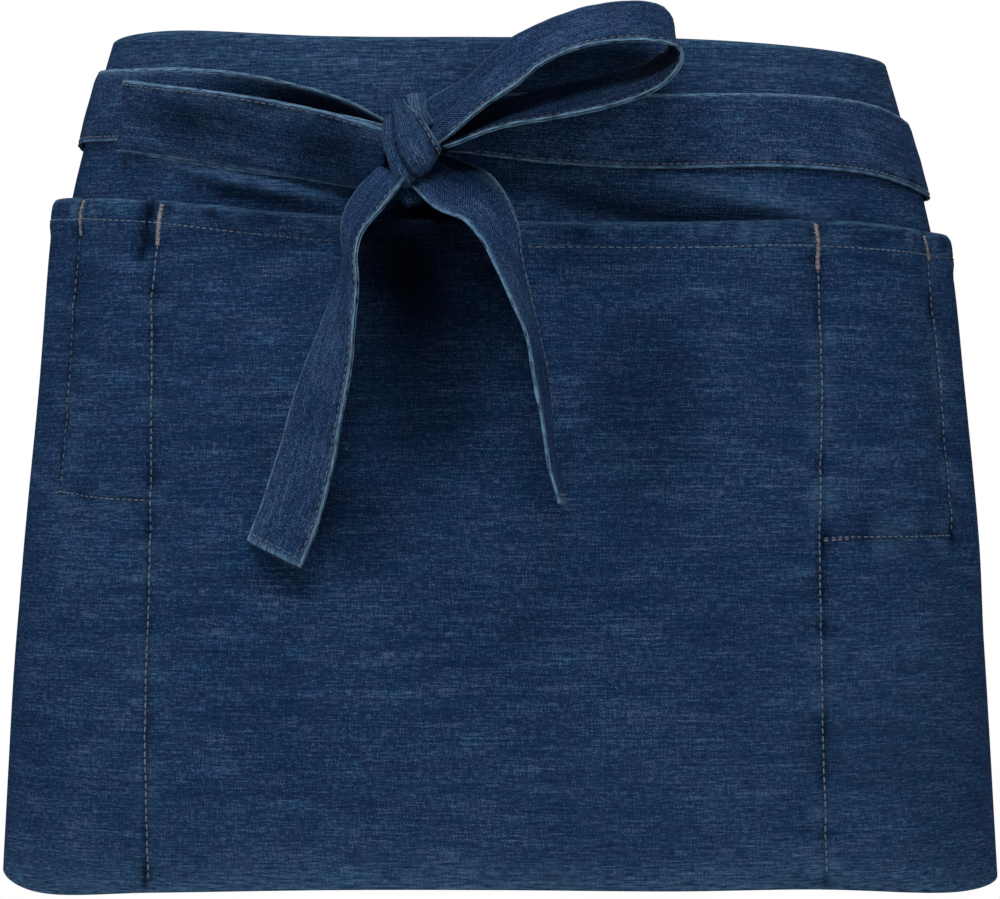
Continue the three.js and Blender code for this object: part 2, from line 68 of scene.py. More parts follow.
def read_column(table, column, place, key=None):
    """One column of a table, read at places between its rows on a smooth curve through all of them."""
    values = np.array(table[column], float)
    knots = np.array(table[key], float) if key else np.arange(len(values), dtype=float)
    place = np.clip(place, knots[0], knots[-1])
    k = np.clip(np.searchsorted(knots, place) - 1, 0, len(knots) - 2)
    before = np.maximum(np.arange(len(knots)) - 1, 0)
    after = np.minimum(np.arange(len(knots)) + 1, len(knots) - 1)
    slope = (values[after] - values[before]) / (knots[after] - knots[before])
    span = knots[k + 1] - knots[k]
    t = (place - knots[k]) / span
    rise = values[k + 1] - values[k]
    start_bow = t * (1 - t) ** 2 * (slope[k] * span - rise)
    end_bow = t**2 * (1 - t) * (rise - slope[k + 1] * span)
    return values[k] + t * rise + start_bow + end_bow


print("half width at the ties:", round(float(read_column(WORN_FORM, "half_width", 0.0, "z")), 1), "mm")

# %% [markdown]
# An ellipse has no simple formula for the distance along it, so the angle for a given distance is looked up.
# The table holds it for ovals of several slimnesses, in units of the half width, and is read between entries.

# %% From a place on the cloth to a place in space
SLIMNESS = np.linspace(0.6, 0.74, 29)
RUN = np.linspace(0, 4.6, 2301)
TURN = np.linspace(0, 2 * np.pi, 2881)
turn_middle = (TURN[1:] + TURN[:-1]) / 2
angle_rows = []
for slim in SLIMNESS:
    pace = np.hypot(np.cos(turn_middle), slim * np.sin(turn_middle)) * TURN[1]
    angle_rows.append(np.interp(RUN, np.concatenate(([0], np.cumsum(pace))), TURN))
ANGLE_TABLE = np.array(angle_rows)


def on_form(u, z, off):
    """Points in space at distance u along the waist, at height z, standing off the worn form by off."""
    u, z, off = np.broadcast_arrays(np.asarray(u, float), np.asarray(z, float), np.asarray(off, float))
    half_width = read_column(WORN_FORM, "half_width", z, "z")
    half_depth = read_column(WORN_FORM, "half_depth", z, "z")
    row = (half_depth / half_width - SLIMNESS[0]) / (SLIMNESS[1] - SLIMNESS[0])
    column = np.abs(u) / half_width / RUN[1]
    r = np.clip(row.astype(int), 0, len(SLIMNESS) - 2)
    c = np.clip(column.astype(int), 0, len(RUN) - 2)
    low = ANGLE_TABLE[r, c] + (ANGLE_TABLE[r, c + 1] - ANGLE_TABLE[r, c]) * (column - c)
    high = ANGLE_TABLE[r + 1, c] + (ANGLE_TABLE[r + 1, c + 1] - ANGLE_TABLE[r + 1, c]) * (column - c)
    angle = np.sign(u) * (low + (high - low) * (row - r))
    outward_x = np.sin(angle) / half_width
    outward_y = -np.cos(angle) / half_depth
    size = np.hypot(outward_x, outward_y)
    middle = read_column(WORN_FORM, "middle", z, "z")
    x = middle + half_width * np.sin(angle) + off * outward_x / size
    y = -half_depth * np.cos(angle) + off * outward_y / size
    return np.stack([x, y, z], axis=-1)


print("front centre of the waist:", on_form(0, 0, 0).round(1), "mm")

# %% [markdown]
# ## Small helpers for cloth
# Cloth is never quite flat. Its slack, puckers and roped edges are made with a soft noise: random heights on
# a lattice, joined smoothly. Each use has its own seed, so every run gives the same folds. Seams and folds
# need the distance to a line drawn on the cloth, and stitches need the distance run along a path.

# %% Soft noise, distances and directions
LATTICE = 128


def soft_noise(a, b, cell_a, cell_b, seed):
    """Smooth heights from -1 to 1, with about one hill or hollow in each cell."""
    lattice = np.random.default_rng(seed).uniform(-1, 1, (LATTICE, LATTICE))
    a, b = np.broadcast_arrays(np.asarray(a, float) / cell_a, np.asarray(b, float) / cell_b)
    i = np.floor(a).astype(int)
    j = np.floor(b).astype(int)
    s = (a - i) ** 2 * (3 - 2 * (a - i))
    t = (b - j) ** 2 * (3 - 2 * (b - j))
    left, right = i % LATTICE, (i + 1) % LATTICE
    low, high = j % LATTICE, (j + 1) % LATTICE
    near = lattice[left, low] * (1 - s) + lattice[right, low] * s
    far = lattice[left, high] * (1 - s) + lattice[right, high] * s
    return near * (1 - t) + far * t


def distance_to(line, u, z):
    """Distance on the cloth from places to a straight line between two places."""
    u0, z0, u1, z1 = line
    length_squared = (u1 - u0) ** 2 + (z1 - z0) ** 2
    share = np.clip(((u - u0) * (u1 - u0) + (z - z0) * (z1 - z0)) / length_squared, 0, 1)
    return np.hypot(u - u0 - share * (u1 - u0), z - z0 - share * (z1 - z0))


def fade(distance, reach):
    """1 on a line, falling softly to 0 a little beyond its reach."""
    return np.exp(-((distance / reach) ** 2))


def unit(vectors):
    """Vectors of length 1 with the same directions."""
    return vectors / np.linalg.norm(vectors, axis=-1, keepdims=True)


def path_run(path):
    """Distance run along a path to each of its points."""
    return np.concatenate(([0], np.cumsum(np.linalg.norm(np.diff(path, axis=0), axis=1))))


print("noise sample:", soft_noise([0.5, 10.5], 3, 4, 4, 1).round(3))

# %% [markdown]
# A piece of cloth is two faces a little apart and a rounded rim that joins them. The two faces come as grids
# with the same rows and columns. The rim at the first and last row is a half circle, as on a folded edge, and
# at the first and last column the sheet closes over a smaller rounding. Beside x, y and z each point carries
# its place on the flat cloth, for the weave, and two numbers for its colour: how worn it is, with painted
# light in a few places, and how dark its painted shade is. At an edge where two turned-in layers are sewn
# together, the rim has a groove between them, darkened with painted shade.

# %% A closed sheet from two faces
RIM_TURNS = np.radians([30, 64, 90, 116, 150])
END_TURNS = np.radians([40, 78])
GROOVE_DEPTH = 0.6
GROOVE_WIDTH = 0.3
GROOVE_SHADE = 0.95


def edge_round(front, back, front_before, back_before, groove):
    """Rows of points on a half circle from the front edge to the back edge, bulging away from the sheet.

    The flat place runs on over the half circle, so that the weave does not smear there. A groove from 0 to 1
    parts the two layers of a sewn edge, and painted shade darkens it.
    """
    middle = (front + back) / 2
    half = (front - back) / 2
    away = unit((middle - (front_before + back_before) / 2)[..., :3])
    radius = np.linalg.norm(half[..., :3], axis=-1, keepdims=True)
    rows = []
    for turn in RIM_TURNS:
        row = middle + half * math.cos(turn)
        sunk = groove * fade(math.cos(turn), GROOVE_WIDTH)
        row[..., :3] += away * radius * math.sin(turn) * (1 - GROOVE_DEPTH * sunk)
        row[..., 4] += 1.5 * radius[..., 0] * math.sin(turn)
        # Painted shade in the groove between the two sewn layers.
        row[..., 6] += GROOVE_SHADE * sunk * (1 - row[..., 6])
        rows.append(row)
    return np.stack(rows)


def closed_sheet(outer, inner, grooves=(0, 0)):
    """Points, faces and a mark for faces of the inner side, for a closed sheet between two grids."""
    rows = len(outer)
    bottom = edge_round(outer[-1], inner[-1], outer[-2], inner[-2], grooves[1])
    top = edge_round(inner[0], outer[0], inner[1], outer[1], grooves[0])
    loop = np.concatenate([outer, bottom, inner[::-1], top])
    core = (outer + inner) / 2
    steps = len(RIM_TURNS)
    core_bottom = np.repeat(core[-1:], steps, axis=0)
    core_top = np.repeat(core[:1], steps, axis=0)
    core_loop = np.concatenate([core, core_bottom, core[::-1], core_top])
    half = np.linalg.norm((outer - inner)[..., :3], axis=-1, keepdims=True) / 2
    half_loop = np.concatenate([half, half[-1:].repeat(steps, 0), half[::-1], half[:1].repeat(steps, 0)])
    columns = [loop]
    for end, next_in, place in ((0, 1, 0), (-1, -2, 1)):
        away = unit((core_loop[:, end] - core_loop[:, next_in])[:, :3])
        extra = []
        for turn in END_TURNS:
            column = core_loop[:, end] + (loop[:, end] - core_loop[:, end]) * math.cos(turn)
            column[:, :3] += away * half_loop[:, end] * math.sin(turn)
            extra.append(column)
        extra = np.stack(extra if place else extra[::-1], axis=1)
        columns = columns + [extra] if place else [extra] + columns
    grid = np.concatenate(columns, axis=1)
    around, across = grid.shape[:2]
    p = np.arange(around)[:, None]
    q = np.arange(across - 1)[None, :]
    corner = p * across + q
    below = (p + 1) % around * across + q
    faces = np.stack([corner, below, below + 1, corner + 1], axis=-1).reshape(-1, 4).tolist()
    inside = np.broadcast_to((p >= rows + steps) & (p < 2 * rows + steps), corner.shape).reshape(-1).tolist()
    for column, turned in ((0, False), (across - 1, True)):
        front = np.arange(rows) * across + column
        back = (2 * rows + steps - 1 - np.arange(rows)) * across + column
        caps = [[front[k], back[k], back[k + 1], front[k + 1]] for k in range(rows - 1)]
        caps.append([front[-1], back[-1]] + [(rows + steps - 1 - k) * across + column for k in range(steps)])
        caps.append([back[0], front[0]] + [(around - 1 - k) * across + column for k in range(steps)])
        faces += [[int(v) for v in (cap[::-1] if turned else cap)] for cap in caps]
        inside += [False] * len(caps)
    return {"points": grid.reshape(-1, grid.shape[-1]), "faces": faces, "inside": inside}


print("rim steps:", len(RIM_TURNS), "end steps:", len(END_TURNS))

# %% [markdown]
# Blender takes a mesh as lists of points and faces. The flat place of every point goes into one UV map, so
# that the weave is drawn at its real size. Its wear, with painted light in places, and its painted shade go
# into another, the map named dye. The faces are turned outwards by the sign of the volume that they enclose,
# then smoothed.

# %% A Blender object from one or more closed sheets
MM = 0.001


def join_shells(shells):
    """Several closed shells as one."""
    joined = {"points": np.concatenate([s["points"] for s in shells]), "faces": [], "inside": []}
    start = 0
    for shell in shells:
        joined["faces"] += [[v + start for v in face] for face in shell["faces"]]
        joined["inside"] += shell["inside"]
        start += len(shell["points"])
    return joined


def signed_volume(points, faces):
    """Volume under the four-sided faces, negative where they face inwards."""
    quads = np.array([f for f in faces if len(f) == 4])
    a, b, c, d = (points[quads[:, k]] for k in range(4))
    return (a * (np.cross(b, c) + np.cross(c, d))).sum() / 6


def make_piece(name, shell, outside, reverse=None):
    """A smooth mesh object that rides on the apron, with its UV maps and one or two materials."""
    points = shell["points"]
    faces = shell["faces"]
    if signed_volume(points[:, :3], faces) < 0:
        faces = [face[::-1] for face in faces]
    mesh = bpy.data.meshes.new(name)
    mesh.from_pydata((points[:, :3] * MM).tolist(), [], faces)
    corner_points = np.empty(len(mesh.loops), int)
    mesh.loops.foreach_get("vertex_index", corner_points)
    # The dye map holds wear with some painted light, and painted shade.
    for layer, first in (("cloth", 3), ("dye", 5)):
        values = points[:, first : first + 2] * (MM if layer == "cloth" else 1)
        uv = mesh.uv_layers.new(name=layer)
        uv.data.foreach_set("uv", values[corner_points].astype(np.float32).reshape(-1))
    mesh.polygons.foreach_set("use_smooth", np.ones(len(faces), bool))
    mesh.materials.append(outside)
    if reverse:
        mesh.materials.append(reverse)
        mesh.polygons.foreach_set("material_index", np.array(shell["inside"], np.int32))
    mesh.update()
    piece = bpy.data.objects.new(name, mesh)
    bpy.context.scene.collection.objects.link(piece)
    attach(piece, "root")
    triangles = sum(len(face) - 2 for face in faces)
    print(name, "points", len(points), "triangles", triangles)
    return piece


# %% [markdown]
# ## Denim
# Denim is a cotton twill: indigo warp threads over white weft threads, with the warp on top, so that the
# face is blue with fine slanting ridges. Here the warp runs across the apron, and its uneven threads show as
# short level streaks. Washing takes indigo off what stands proud: folded edges, puckers and seams go pale.
# It could be a tiled picture, but a drawing with nodes has no seams and keeps its size on every piece.

# %% Colours and nodes
# Cotton, polyester and paint all have about this index of refraction.
COMMON_IOR = 1.5


def linear(hex_colour):
    """An sRGB hex colour as linear red, green, blue and alpha."""
    parts = [int(hex_colour[k : k + 2], 16) / 255 for k in (1, 3, 5)]
    return [c / 12.92 if c <= 0.04045 else ((c + 0.055) / 1.055) ** 2.4 for c in parts] + [1.0]


def add_node(tree, kind, settings=None, links=None):
    """A new node with its settings, by property or socket, and its incoming links."""
    node = tree.nodes.new(kind)
    for name, value in (settings or {}).items():
        if isinstance(name, int) or name in node.inputs:
            node.inputs[name].default_value = value
        else:
            setattr(node, name, value)
    for name, source in (links or {}).items():
        tree.links.new(source, node.inputs[name])
    return node


def matt_material(name, roughness, gloss):
    """A new material with its node tree and its shader."""
    material = bpy.data.materials.new(name)
    material.use_nodes = True
    shader = material.node_tree.nodes["Principled BSDF"]
    shader.inputs["Roughness"].default_value = roughness
    shader.inputs["IOR"].default_value = COMMON_IOR
    shader.inputs["Specular IOR Level"].default_value = gloss
    return material, material.node_tree, shader


print("indigo in linear light:", [round(c, 4) for c in linear("#1f324e")])

# %% [markdown]
# The weave is made of layers, each with the size of a real feature. Slubs are thick places in the warp, 8 to
# 34 mm long and up to a millimetre high. Weft threads cross them. The slanting twill ridge of such cloth
# repeats each 0.7 mm or so, which is finer than the picture shows, so it is drawn every 0.95 mm and broken up
# into flecks of bare weft. Slow mottling over a few centimetres is the uneven dye. Cotton is matte: its
# roughness is near 0.9, and it has hardly any gloss, because its fibres stand in all directions.

# %% Layers of the weave
WEAVE_LAYERS = [
    {"name": "slub", "cell_mm": (8, 0.75), "detail": 2, "share": 0.35},
    {"name": "long_slub", "cell_mm": (34, 1.0), "detail": 1, "share": 0.29},
    {"name": "weft", "cell_mm": (0.9, 5), "detail": 1, "share": 0.25},
    {"name": "mottle", "cell_mm": (34, 8), "detail": 3, "share": 0.23},
    {"name": "cloud", "cell_mm": (75, 55), "detail": 1, "share": 0.14},
    {"name": "fleck", "cell_mm": (2.8, 0.7), "detail": 2, "share": 0.0},
    {"name": "tint", "cell_mm": (16, 9), "detail": 2, "share": 0.0},
]
TWILL_MM = 0.95
TWILL_SLANT = math.radians(-45)
WAVE_PERIOD = 2 * math.pi / 20
FLECK_SHARE = 0.27
FLECK_GATE = {"operation": "MULTIPLY_ADD", "use_clamp": True, 1: 5.0, 2: -2.15}
MIDDLE_TONE = 0.46


def weave_tone(tree, cloth, contrast, fineness):
    """The noise of every layer of the weave, and the tone that the layers add up to."""
    layers = {}
    tone = None
    for layer in WEAVE_LAYERS:
        width, height = (side * fineness * MM for side in layer["cell_mm"])
        stretch = {"Scale": (1 / width, 1 / height, 1)}
        stretched = add_node(tree, "ShaderNodeMapping", stretch, {"Vector": cloth})
        grain = {"Scale": 1.0, "Detail": layer["detail"], "Roughness": 0.55}
        noise = add_node(tree, "ShaderNodeTexNoise", grain, {"Vector": stretched.outputs["Vector"]})
        layers[layer["name"]] = noise.outputs["Fac"]
        if layer["share"]:
            share = layer["share"] * contrast
            centre = {"operation": "SUBTRACT", 1: 0.5}
            centred = add_node(tree, "ShaderNodeMath", centre, {0: noise.outputs["Fac"]})
            add = {"operation": "MULTIPLY_ADD", 1: share, 2: MIDDLE_TONE}
            links = {0: centred.outputs[0], 2: tone} if tone else {0: centred.outputs[0]}
            tone = add_node(tree, "ShaderNodeMath", add, links).outputs[0]
    return layers, tone


def bare_weft(tree, cloth, fleck, tone, contrast):
    """The slanting ridges of the twill, and the tone with flecks of bare weft along them."""
    slant = {"Rotation": (0, 0, TWILL_SLANT), "Scale": (1 / MM, 1 / MM, 1)}
    slanted = add_node(tree, "ShaderNodeMapping", slant, {"Vector": cloth})
    ridge = {"Scale": WAVE_PERIOD / TWILL_MM, "Distortion": 2.0, "Detail": 1.5, "Detail Scale": 3.0}
    twill = add_node(tree, "ShaderNodeTexWave", ridge, {"Vector": slanted.outputs["Vector"]}).outputs["Fac"]
    narrow = add_node(tree, "ShaderNodeMath", {"operation": "POWER", 1: 2.2}, {0: twill})
    gated = add_node(tree, "ShaderNodeMath", FLECK_GATE, {0: fleck})
    fleck_links = {0: narrow.outputs[0], 1: gated.outputs[0]}
    flecks = add_node(tree, "ShaderNodeMath", {"operation": "MULTIPLY"}, fleck_links)
    fleck_share = {"operation": "MULTIPLY_ADD", 1: FLECK_SHARE * contrast}
    return twill, add_node(tree, "ShaderNodeMath", fleck_share, {0: flecks.outputs[0], 2: tone}).outputs[0]


print("weave layers:", [layer["name"] for layer in WEAVE_LAYERS])

# %% [markdown]
# The tone of the weave picks a colour between the deepest indigo and the palest thread, with a slow change
# of tint. Where the cloth is rubbed, the worn colour shows through the slubs that stand highest, and the same
# mix lays painted light in a few places. Painted shade is laid over all of it. The ties are folded from the
# same cloth, but their weave looks finer, and the reverse of a twill shows more of the pale weft.

# %% Washed indigo twill
RUBBED_GATE = {"operation": "MULTIPLY_ADD", "use_clamp": True, 1: 3.0, 2: -0.95}
TONE_STOPS = (0.24, 0.5, 0.86)
TINT_STOPS = (0.36, 0.64)
TINTS = ("#e2f8ff", "#ffeefa")
# The colour that painted shade mixes towards.
SHADE = "#000105"
DENIM_ROUGHNESS = 0.92
DENIM_GLOSS = 0.01
WEAVE_RELIEF_MM = 0.25


def cloth_maps(tree):
    """The flat place, the wear and painted light, and the painted shade, from the two UV maps."""
    cloth = add_node(tree, "ShaderNodeUVMap", {"uv_map": "cloth"})
    dye = add_node(tree, "ShaderNodeUVMap", {"uv_map": "dye"})
    parts = add_node(tree, "ShaderNodeSeparateXYZ", links={"Vector": dye.outputs["UV"]})
    return cloth.outputs["UV"], parts.outputs["X"], parts.outputs["Y"]


def shade_and_relief(tree, shader, colour, dark, height, bump):
    """Gives the shader its colour, darkened by painted shade, and its fine relief."""
    shaded = add_node(tree, "ShaderNodeMixRGB", {"Color2": linear(SHADE)}, {"Fac": dark, "Color1": colour})
    tree.links.new(shaded.outputs["Color"], shader.inputs["Base Color"])
    bumped = add_node(tree, "ShaderNodeBump", bump, {"Height": height})
    tree.links.new(bumped.outputs["Normal"], shader.inputs["Normal"])


def worn_colour(tree, layers, tone, colours, rubbing):
    """The colour of a tone: its dye, a slow change of tint, and worn threads showing through."""
    ramp = add_node(tree, "ShaderNodeValToRGB", links={"Fac": tone})
    ramp.color_ramp.elements.new(TONE_STOPS[1])
    for stop, place, colour in zip(ramp.color_ramp.elements, TONE_STOPS, colours):
        stop.position = place
        stop.color = linear(colour)
    tints = add_node(tree, "ShaderNodeValToRGB", links={"Fac": layers["tint"]})
    for stop, place, colour in zip(tints.color_ramp.elements, TINT_STOPS, TINTS):
        stop.position = place
        stop.color = linear(colour)
    multiply = {"blend_type": "MULTIPLY", "Fac": 1.0}
    tint_links = {"Color1": ramp.outputs["Color"], "Color2": tints.outputs["Color"]}
    tinted = add_node(tree, "ShaderNodeMixRGB", multiply, tint_links)

    # The rubbing map holds wear, and painted light in a few places.
    rubbed = add_node(tree, "ShaderNodeMath", RUBBED_GATE, {0: layers["slub"]})
    wear_product = {"operation": "MULTIPLY", "use_clamp": True}
    wear = add_node(tree, "ShaderNodeMath", wear_product, {0: rubbed.outputs[0], 1: rubbing})
    faded_links = {"Fac": wear.outputs[0], "Color1": tinted.outputs["Color"]}
    return add_node(tree, "ShaderNodeMixRGB", {"Color2": linear(colours[3])}, faded_links).outputs["Color"]


def woven_denim(name, colours, contrast=1.0, fineness=1.0):
    """A twill with its own four colours: deepest dye, common tone, palest thread, and worn edges."""
    material, tree, shader = matt_material(name, DENIM_ROUGHNESS, DENIM_GLOSS)
    cloth, rubbing, dark = cloth_maps(tree)
    layers, tone = weave_tone(tree, cloth, contrast, fineness)
    twill, tone = bare_weft(tree, cloth, layers["fleck"], tone, contrast)
    colour = worn_colour(tree, layers, tone, colours, rubbing)
    thread_height = {"operation": "MULTIPLY_ADD", 1: 0.6}
    thread_links = {0: layers["slub"], 2: layers["weft"]}
    threads = add_node(tree, "ShaderNodeMath", thread_height, thread_links)
    relief_links = {0: twill, 2: threads.outputs[0]}
    relief = add_node(tree, "ShaderNodeMath", {"operation": "MULTIPLY_ADD", 1: 0.5}, relief_links)
    bump = {"Strength": 0.55, "Distance": WEAVE_RELIEF_MM * MM}
    shade_and_relief(tree, shader, colour, dark, relief.outputs[0], bump)
    return material


PANEL_BLUES = ("#0b1a31", "#1a3150", "#5f7f9f", "#5a809d")
TIE_BLUES = ("#0b1a32", "#1b314f", "#5f7d9f", "#7196b2")
REVERSE_BLUES = ("#3c4d68", "#64778f", "#98a7ba", "#a9b8c9")
panel_denim = woven_denim("washed_indigo_twill", PANEL_BLUES, 0.88)
tie_denim = woven_denim("washed_indigo_tie_twill", TIE_BLUES, 1.12, 0.65)
reverse_denim = woven_denim("reverse_of_indigo_twill", REVERSE_BLUES, 0.8)
print("denim materials:", panel_denim.name, tie_denim.name, reverse_denim.name)

# %% [markdown]
# The apron is sewn with spun polyester-cotton thread in a greyish taupe, which has taken up some blue in the
# wash. The bar tacks kept more of its own colour. A stitch is a short piece of twisted thread, so its
# material has fine slanting plies and a little more shine than the cloth.

# %% Taupe sewing thread
PLY_MM = 0.5
PLY_SLANT = math.radians(35)
PLY_RELIEF_MM = 0.08
THREAD_ROUGHNESS = 0.7
THREAD_GLOSS = 0.05


def sewing_thread(name, shadow, light):
    """Twisted thread: two tones in fine slanting bands."""
    material, tree, shader = matt_material(name, THREAD_ROUGHNESS, THREAD_GLOSS)
    cloth, _, dark = cloth_maps(tree)
    slant = {"Rotation": (0, 0, PLY_SLANT), "Scale": (1 / MM, 1 / MM, 1)}
    slanted = add_node(tree, "ShaderNodeMapping", slant, {"Vector": cloth})
    plies = {"Scale": WAVE_PERIOD / PLY_MM, "Distortion": 0.8}
    ply = add_node(tree, "ShaderNodeTexWave", plies, {"Vector": slanted.outputs["Vector"]})
    ramp = add_node(tree, "ShaderNodeValToRGB", links={"Fac": ply.outputs["Fac"]})
    ramp.color_ramp.elements[0].color = linear(shadow)
    ramp.color_ramp.elements[1].color = linear(light)
    bump = {"Distance": PLY_RELIEF_MM * MM}
    shade_and_relief(tree, shader, ramp.outputs["Color"], dark, ply.outputs["Fac"], bump)
    return material


seam_thread = sewing_thread("taupe_sewing_thread", "#4e586b", "#7b869b")
tack_thread = sewing_thread("taupe_bar_tack_thread", "#716d74", "#a39da1")
print("thread materials:", seam_thread.name, tack_thread.name)

# %% [markdown]
# ## The rear layer
# The panel is one length of denim with a narrow turned hem at the waist. It could be draped by simulation,
# but a worn apron is held tight by its ties, so its shape is known: it lies on the waist, with a few drag
# folds between the ties and the pocket. Its edges and folds are drawn on the flat cloth and laid on the form.

# %% Edges, seams and drag folds of the cloth
EDGES = {
    "u": [-362, -269, -209, -146, -70, 0, 70, 132, 208, 269, 348],
    "top": [38, 38.5, 40.3, 41.6, 37, 36, 36.2, 34.5, 31, 30, 34],
    "mouth": [-26, -26.5, -25.8, -28.5, -35.6, -38.5, -38.8, -36.8, -40, -42, -44],
    "hem": [-303, -306, -312.5, -309.7, -307, -306.5, -307.5, -308, -312, -309, -305],
    "stitch": [7.7, 7.7, 8, 8.4, 9.5, 9.5, 9.4, 9.8, 9.2, 8.6, 8.6],
    "room": [0.5, 4.6, 4.6, 5, 8, 9, 8, 5, 4.8, 4.8, 0.5],
}
LEFT_DIVIDER = (-148.2, -20, -149.2, -312)
RIGHT_DIVIDER = (134.6, -30, 134.8, -312)
LEFT_TOOL_SIDE = (-196.5, -20, -204.8, -147)
LEFT_TOOL_FLOOR = (-204.8, -147.5, -149, -150.3)
RIGHT_TOOL_SIDE = (202.7, -34, 213.7, -165)
RIGHT_TOOL_FLOOR = (213.7, -165.2, 134.7, -165.8)
SIDE_SEAMS = [(-362, -20, -362, -312), (348, -40, 348, -312)]
SEWN_ROWS = [
    LEFT_DIVIDER,
    RIGHT_DIVIDER,
    LEFT_TOOL_SIDE,
    LEFT_TOOL_FLOOR,
    RIGHT_TOOL_SIDE,
    RIGHT_TOOL_FLOOR,
]
DRAG_FOLDS = [
    {"line": [(-158, -8), (-112, -18.5), (-62, -29)], "reach": 3.6, "height": 3.8},
    {"line": [(-138, -21), (-100, -28.5), (-64, -34)], "reach": 2.4, "height": -2.4},
    {"line": [(60, -20), (100, -27), (150, -36)], "reach": 4.6, "height": 3.2},
    {"line": [(16, -27), (60, -35), (118, -40)], "reach": 6, "height": -2.8},
]


def fold_near(fold, u, z, reach):
    """1 along the line of a fold, 0 away from it and towards both of its ends."""
    places = fold["line"]
    spans = [distance_to(a + b, u, z) for a, b in zip(places, places[1:])]
    start, end = places[0][0], places[-1][0]
    along = np.clip((u - start) / (end - start), 0, 1)
    return fade(np.minimum.reduce(spans), reach) * np.sin(np.pi * along) ** 0.6


def panel_lift(u, z):
    """How far folds and slack lift the panel off the worn form."""
    lift = 0.25 * soft_noise(u, z, 34, 16, 4)
    for fold in DRAG_FOLDS:
        lift = lift + fold["height"] * fold_near(fold, u, z, fold["reach"])
    return lift


print("lift at the left fold:", round(float(panel_lift(-110.0, -20.5)), 2), "mm")

# %% [markdown]
# Behind the knot, the hanging ends and the loops the shade is deeper than soft light gives, so shade is
# painted into the colour there and at a few places near them, by a short table of soft ovals. Each gives the
# middle of the oval on the cloth, half of its width and height, and how deep its painted shade is.

# %% Painted shade of the cloth, and its grid
def smooth_step(low, high, value):
    """0 below low, 1 above high, and a soft step between."""
    t = np.clip((value - low) / (high - low), 0, 1)
    return t * t * (3 - 2 * t)


SHADES = [
    {"at": (-35, -56), "half": (23, 38), "depth": 0.99},
    {"at": (-28, -102), "half": (29, 42), "depth": 0.68},
    {"at": (-12, -66), "half": (18, 30), "depth": 0.5},
    {"at": (57, -112), "half": (26, 42), "depth": 0.36},
    {"at": (-84, -40), "half": (36, 9), "depth": 0.42},
    {"at": (26, -41), "half": (44, 10), "depth": 0.28},
    {"at": (34, -56), "half": (22, 14), "depth": 0.24},
    {"at": (46, -30), "half": (34, 7), "depth": 0.35},
    {"at": (92, -35), "half": (30, 4), "depth": 0.5},
    {"at": (-2, -18), "half": (26, 14), "depth": 0.4},
    {"at": (34, 27), "half": (35, 13), "depth": 0.4},
    {"at": (57, 32), "half": (15, 9), "depth": 0.45},
    {"at": (-56, -160), "half": (20, 22), "depth": 0.4},
    {"at": (-97, -128), "half": (15, 26), "depth": 0.22},
    {"at": (-88, -182), "half": (18, 8), "depth": 0.36},
    {"at": (4, -196), "half": (44, 24), "depth": 0.17},
]


def oval_shade(ovals, a, b):
    """Depth of soft ovals of painted shade at places on the cloth, from 0 to 1."""
    light = 1.0 + 0 * a
    for oval in ovals:
        reach_a = (a - oval["at"][0]) / oval["half"][0]
        reach_b = (b - oval["at"][1]) / oval["half"][1]
        light = light * (1 - oval["depth"] * np.exp(-(np.hypot(reach_a, reach_b) ** 3)))
    return 1 - light


def cloth_places(column_mm):
    """Places along the waist for the columns of a layer."""
    count = round(PANEL_WIDTH / column_mm) + 1
    return PANEL_MIDDLE + PANEL_WIDTH * np.linspace(-0.5, 0.5, count)


def rows_down(top, hem_depths, low, count):
    """Heights of the rows of a layer: close together in its hem, then even down to its lower edge."""
    hem_rows = top - hem_depths[:, None]
    shares = np.linspace(0, 1, count)[1:]
    body_rows = hem_rows[-1:] + (low - hem_rows[-1:]) * shares[:, None]
    return np.concatenate([hem_rows, body_rows])


def with_wear_and_shade(points, u, z, worn, dark):
    """Points with their place on the flat cloth, and their wear, painted light and painted shade beside them.
    """
    extra = np.broadcast_arrays(u, z, worn, dark)
    return np.concatenate([points, np.stack(extra, axis=-1)], axis=-1)


print("shade behind the knot:", round(float(oval_shade(SHADES, -35.0, -56.0)), 2))

# %% [markdown]
# The waist hem is turned to the inside, so only the inner face steps there, and the outer face ripples a
# little over it. The ridges of the drag folds get a painted highlight and their hollows painted shade, and
# the waist is painted paler towards its top, as painted light.

# %% The panel
WAIST_HEM = 9
HEM_STEP = 1.5
WAIST_RIPPLE = 0.35
WAIST_PAINTED_LIGHT = 0.09
FOLD_REACH = 3.4
FOLD_PAINTED_HIGHLIGHT = 0.25
FOLD_SHADE = 0.65
PANEL_HEIGHT = 340
PANEL_COLUMN_MM = 3.0
PANEL_ROW_MM = 3.2
HEM_ROW_MM = 1.3
TURN_RADIUS = CLOTH + LAYER_ROOM / 2


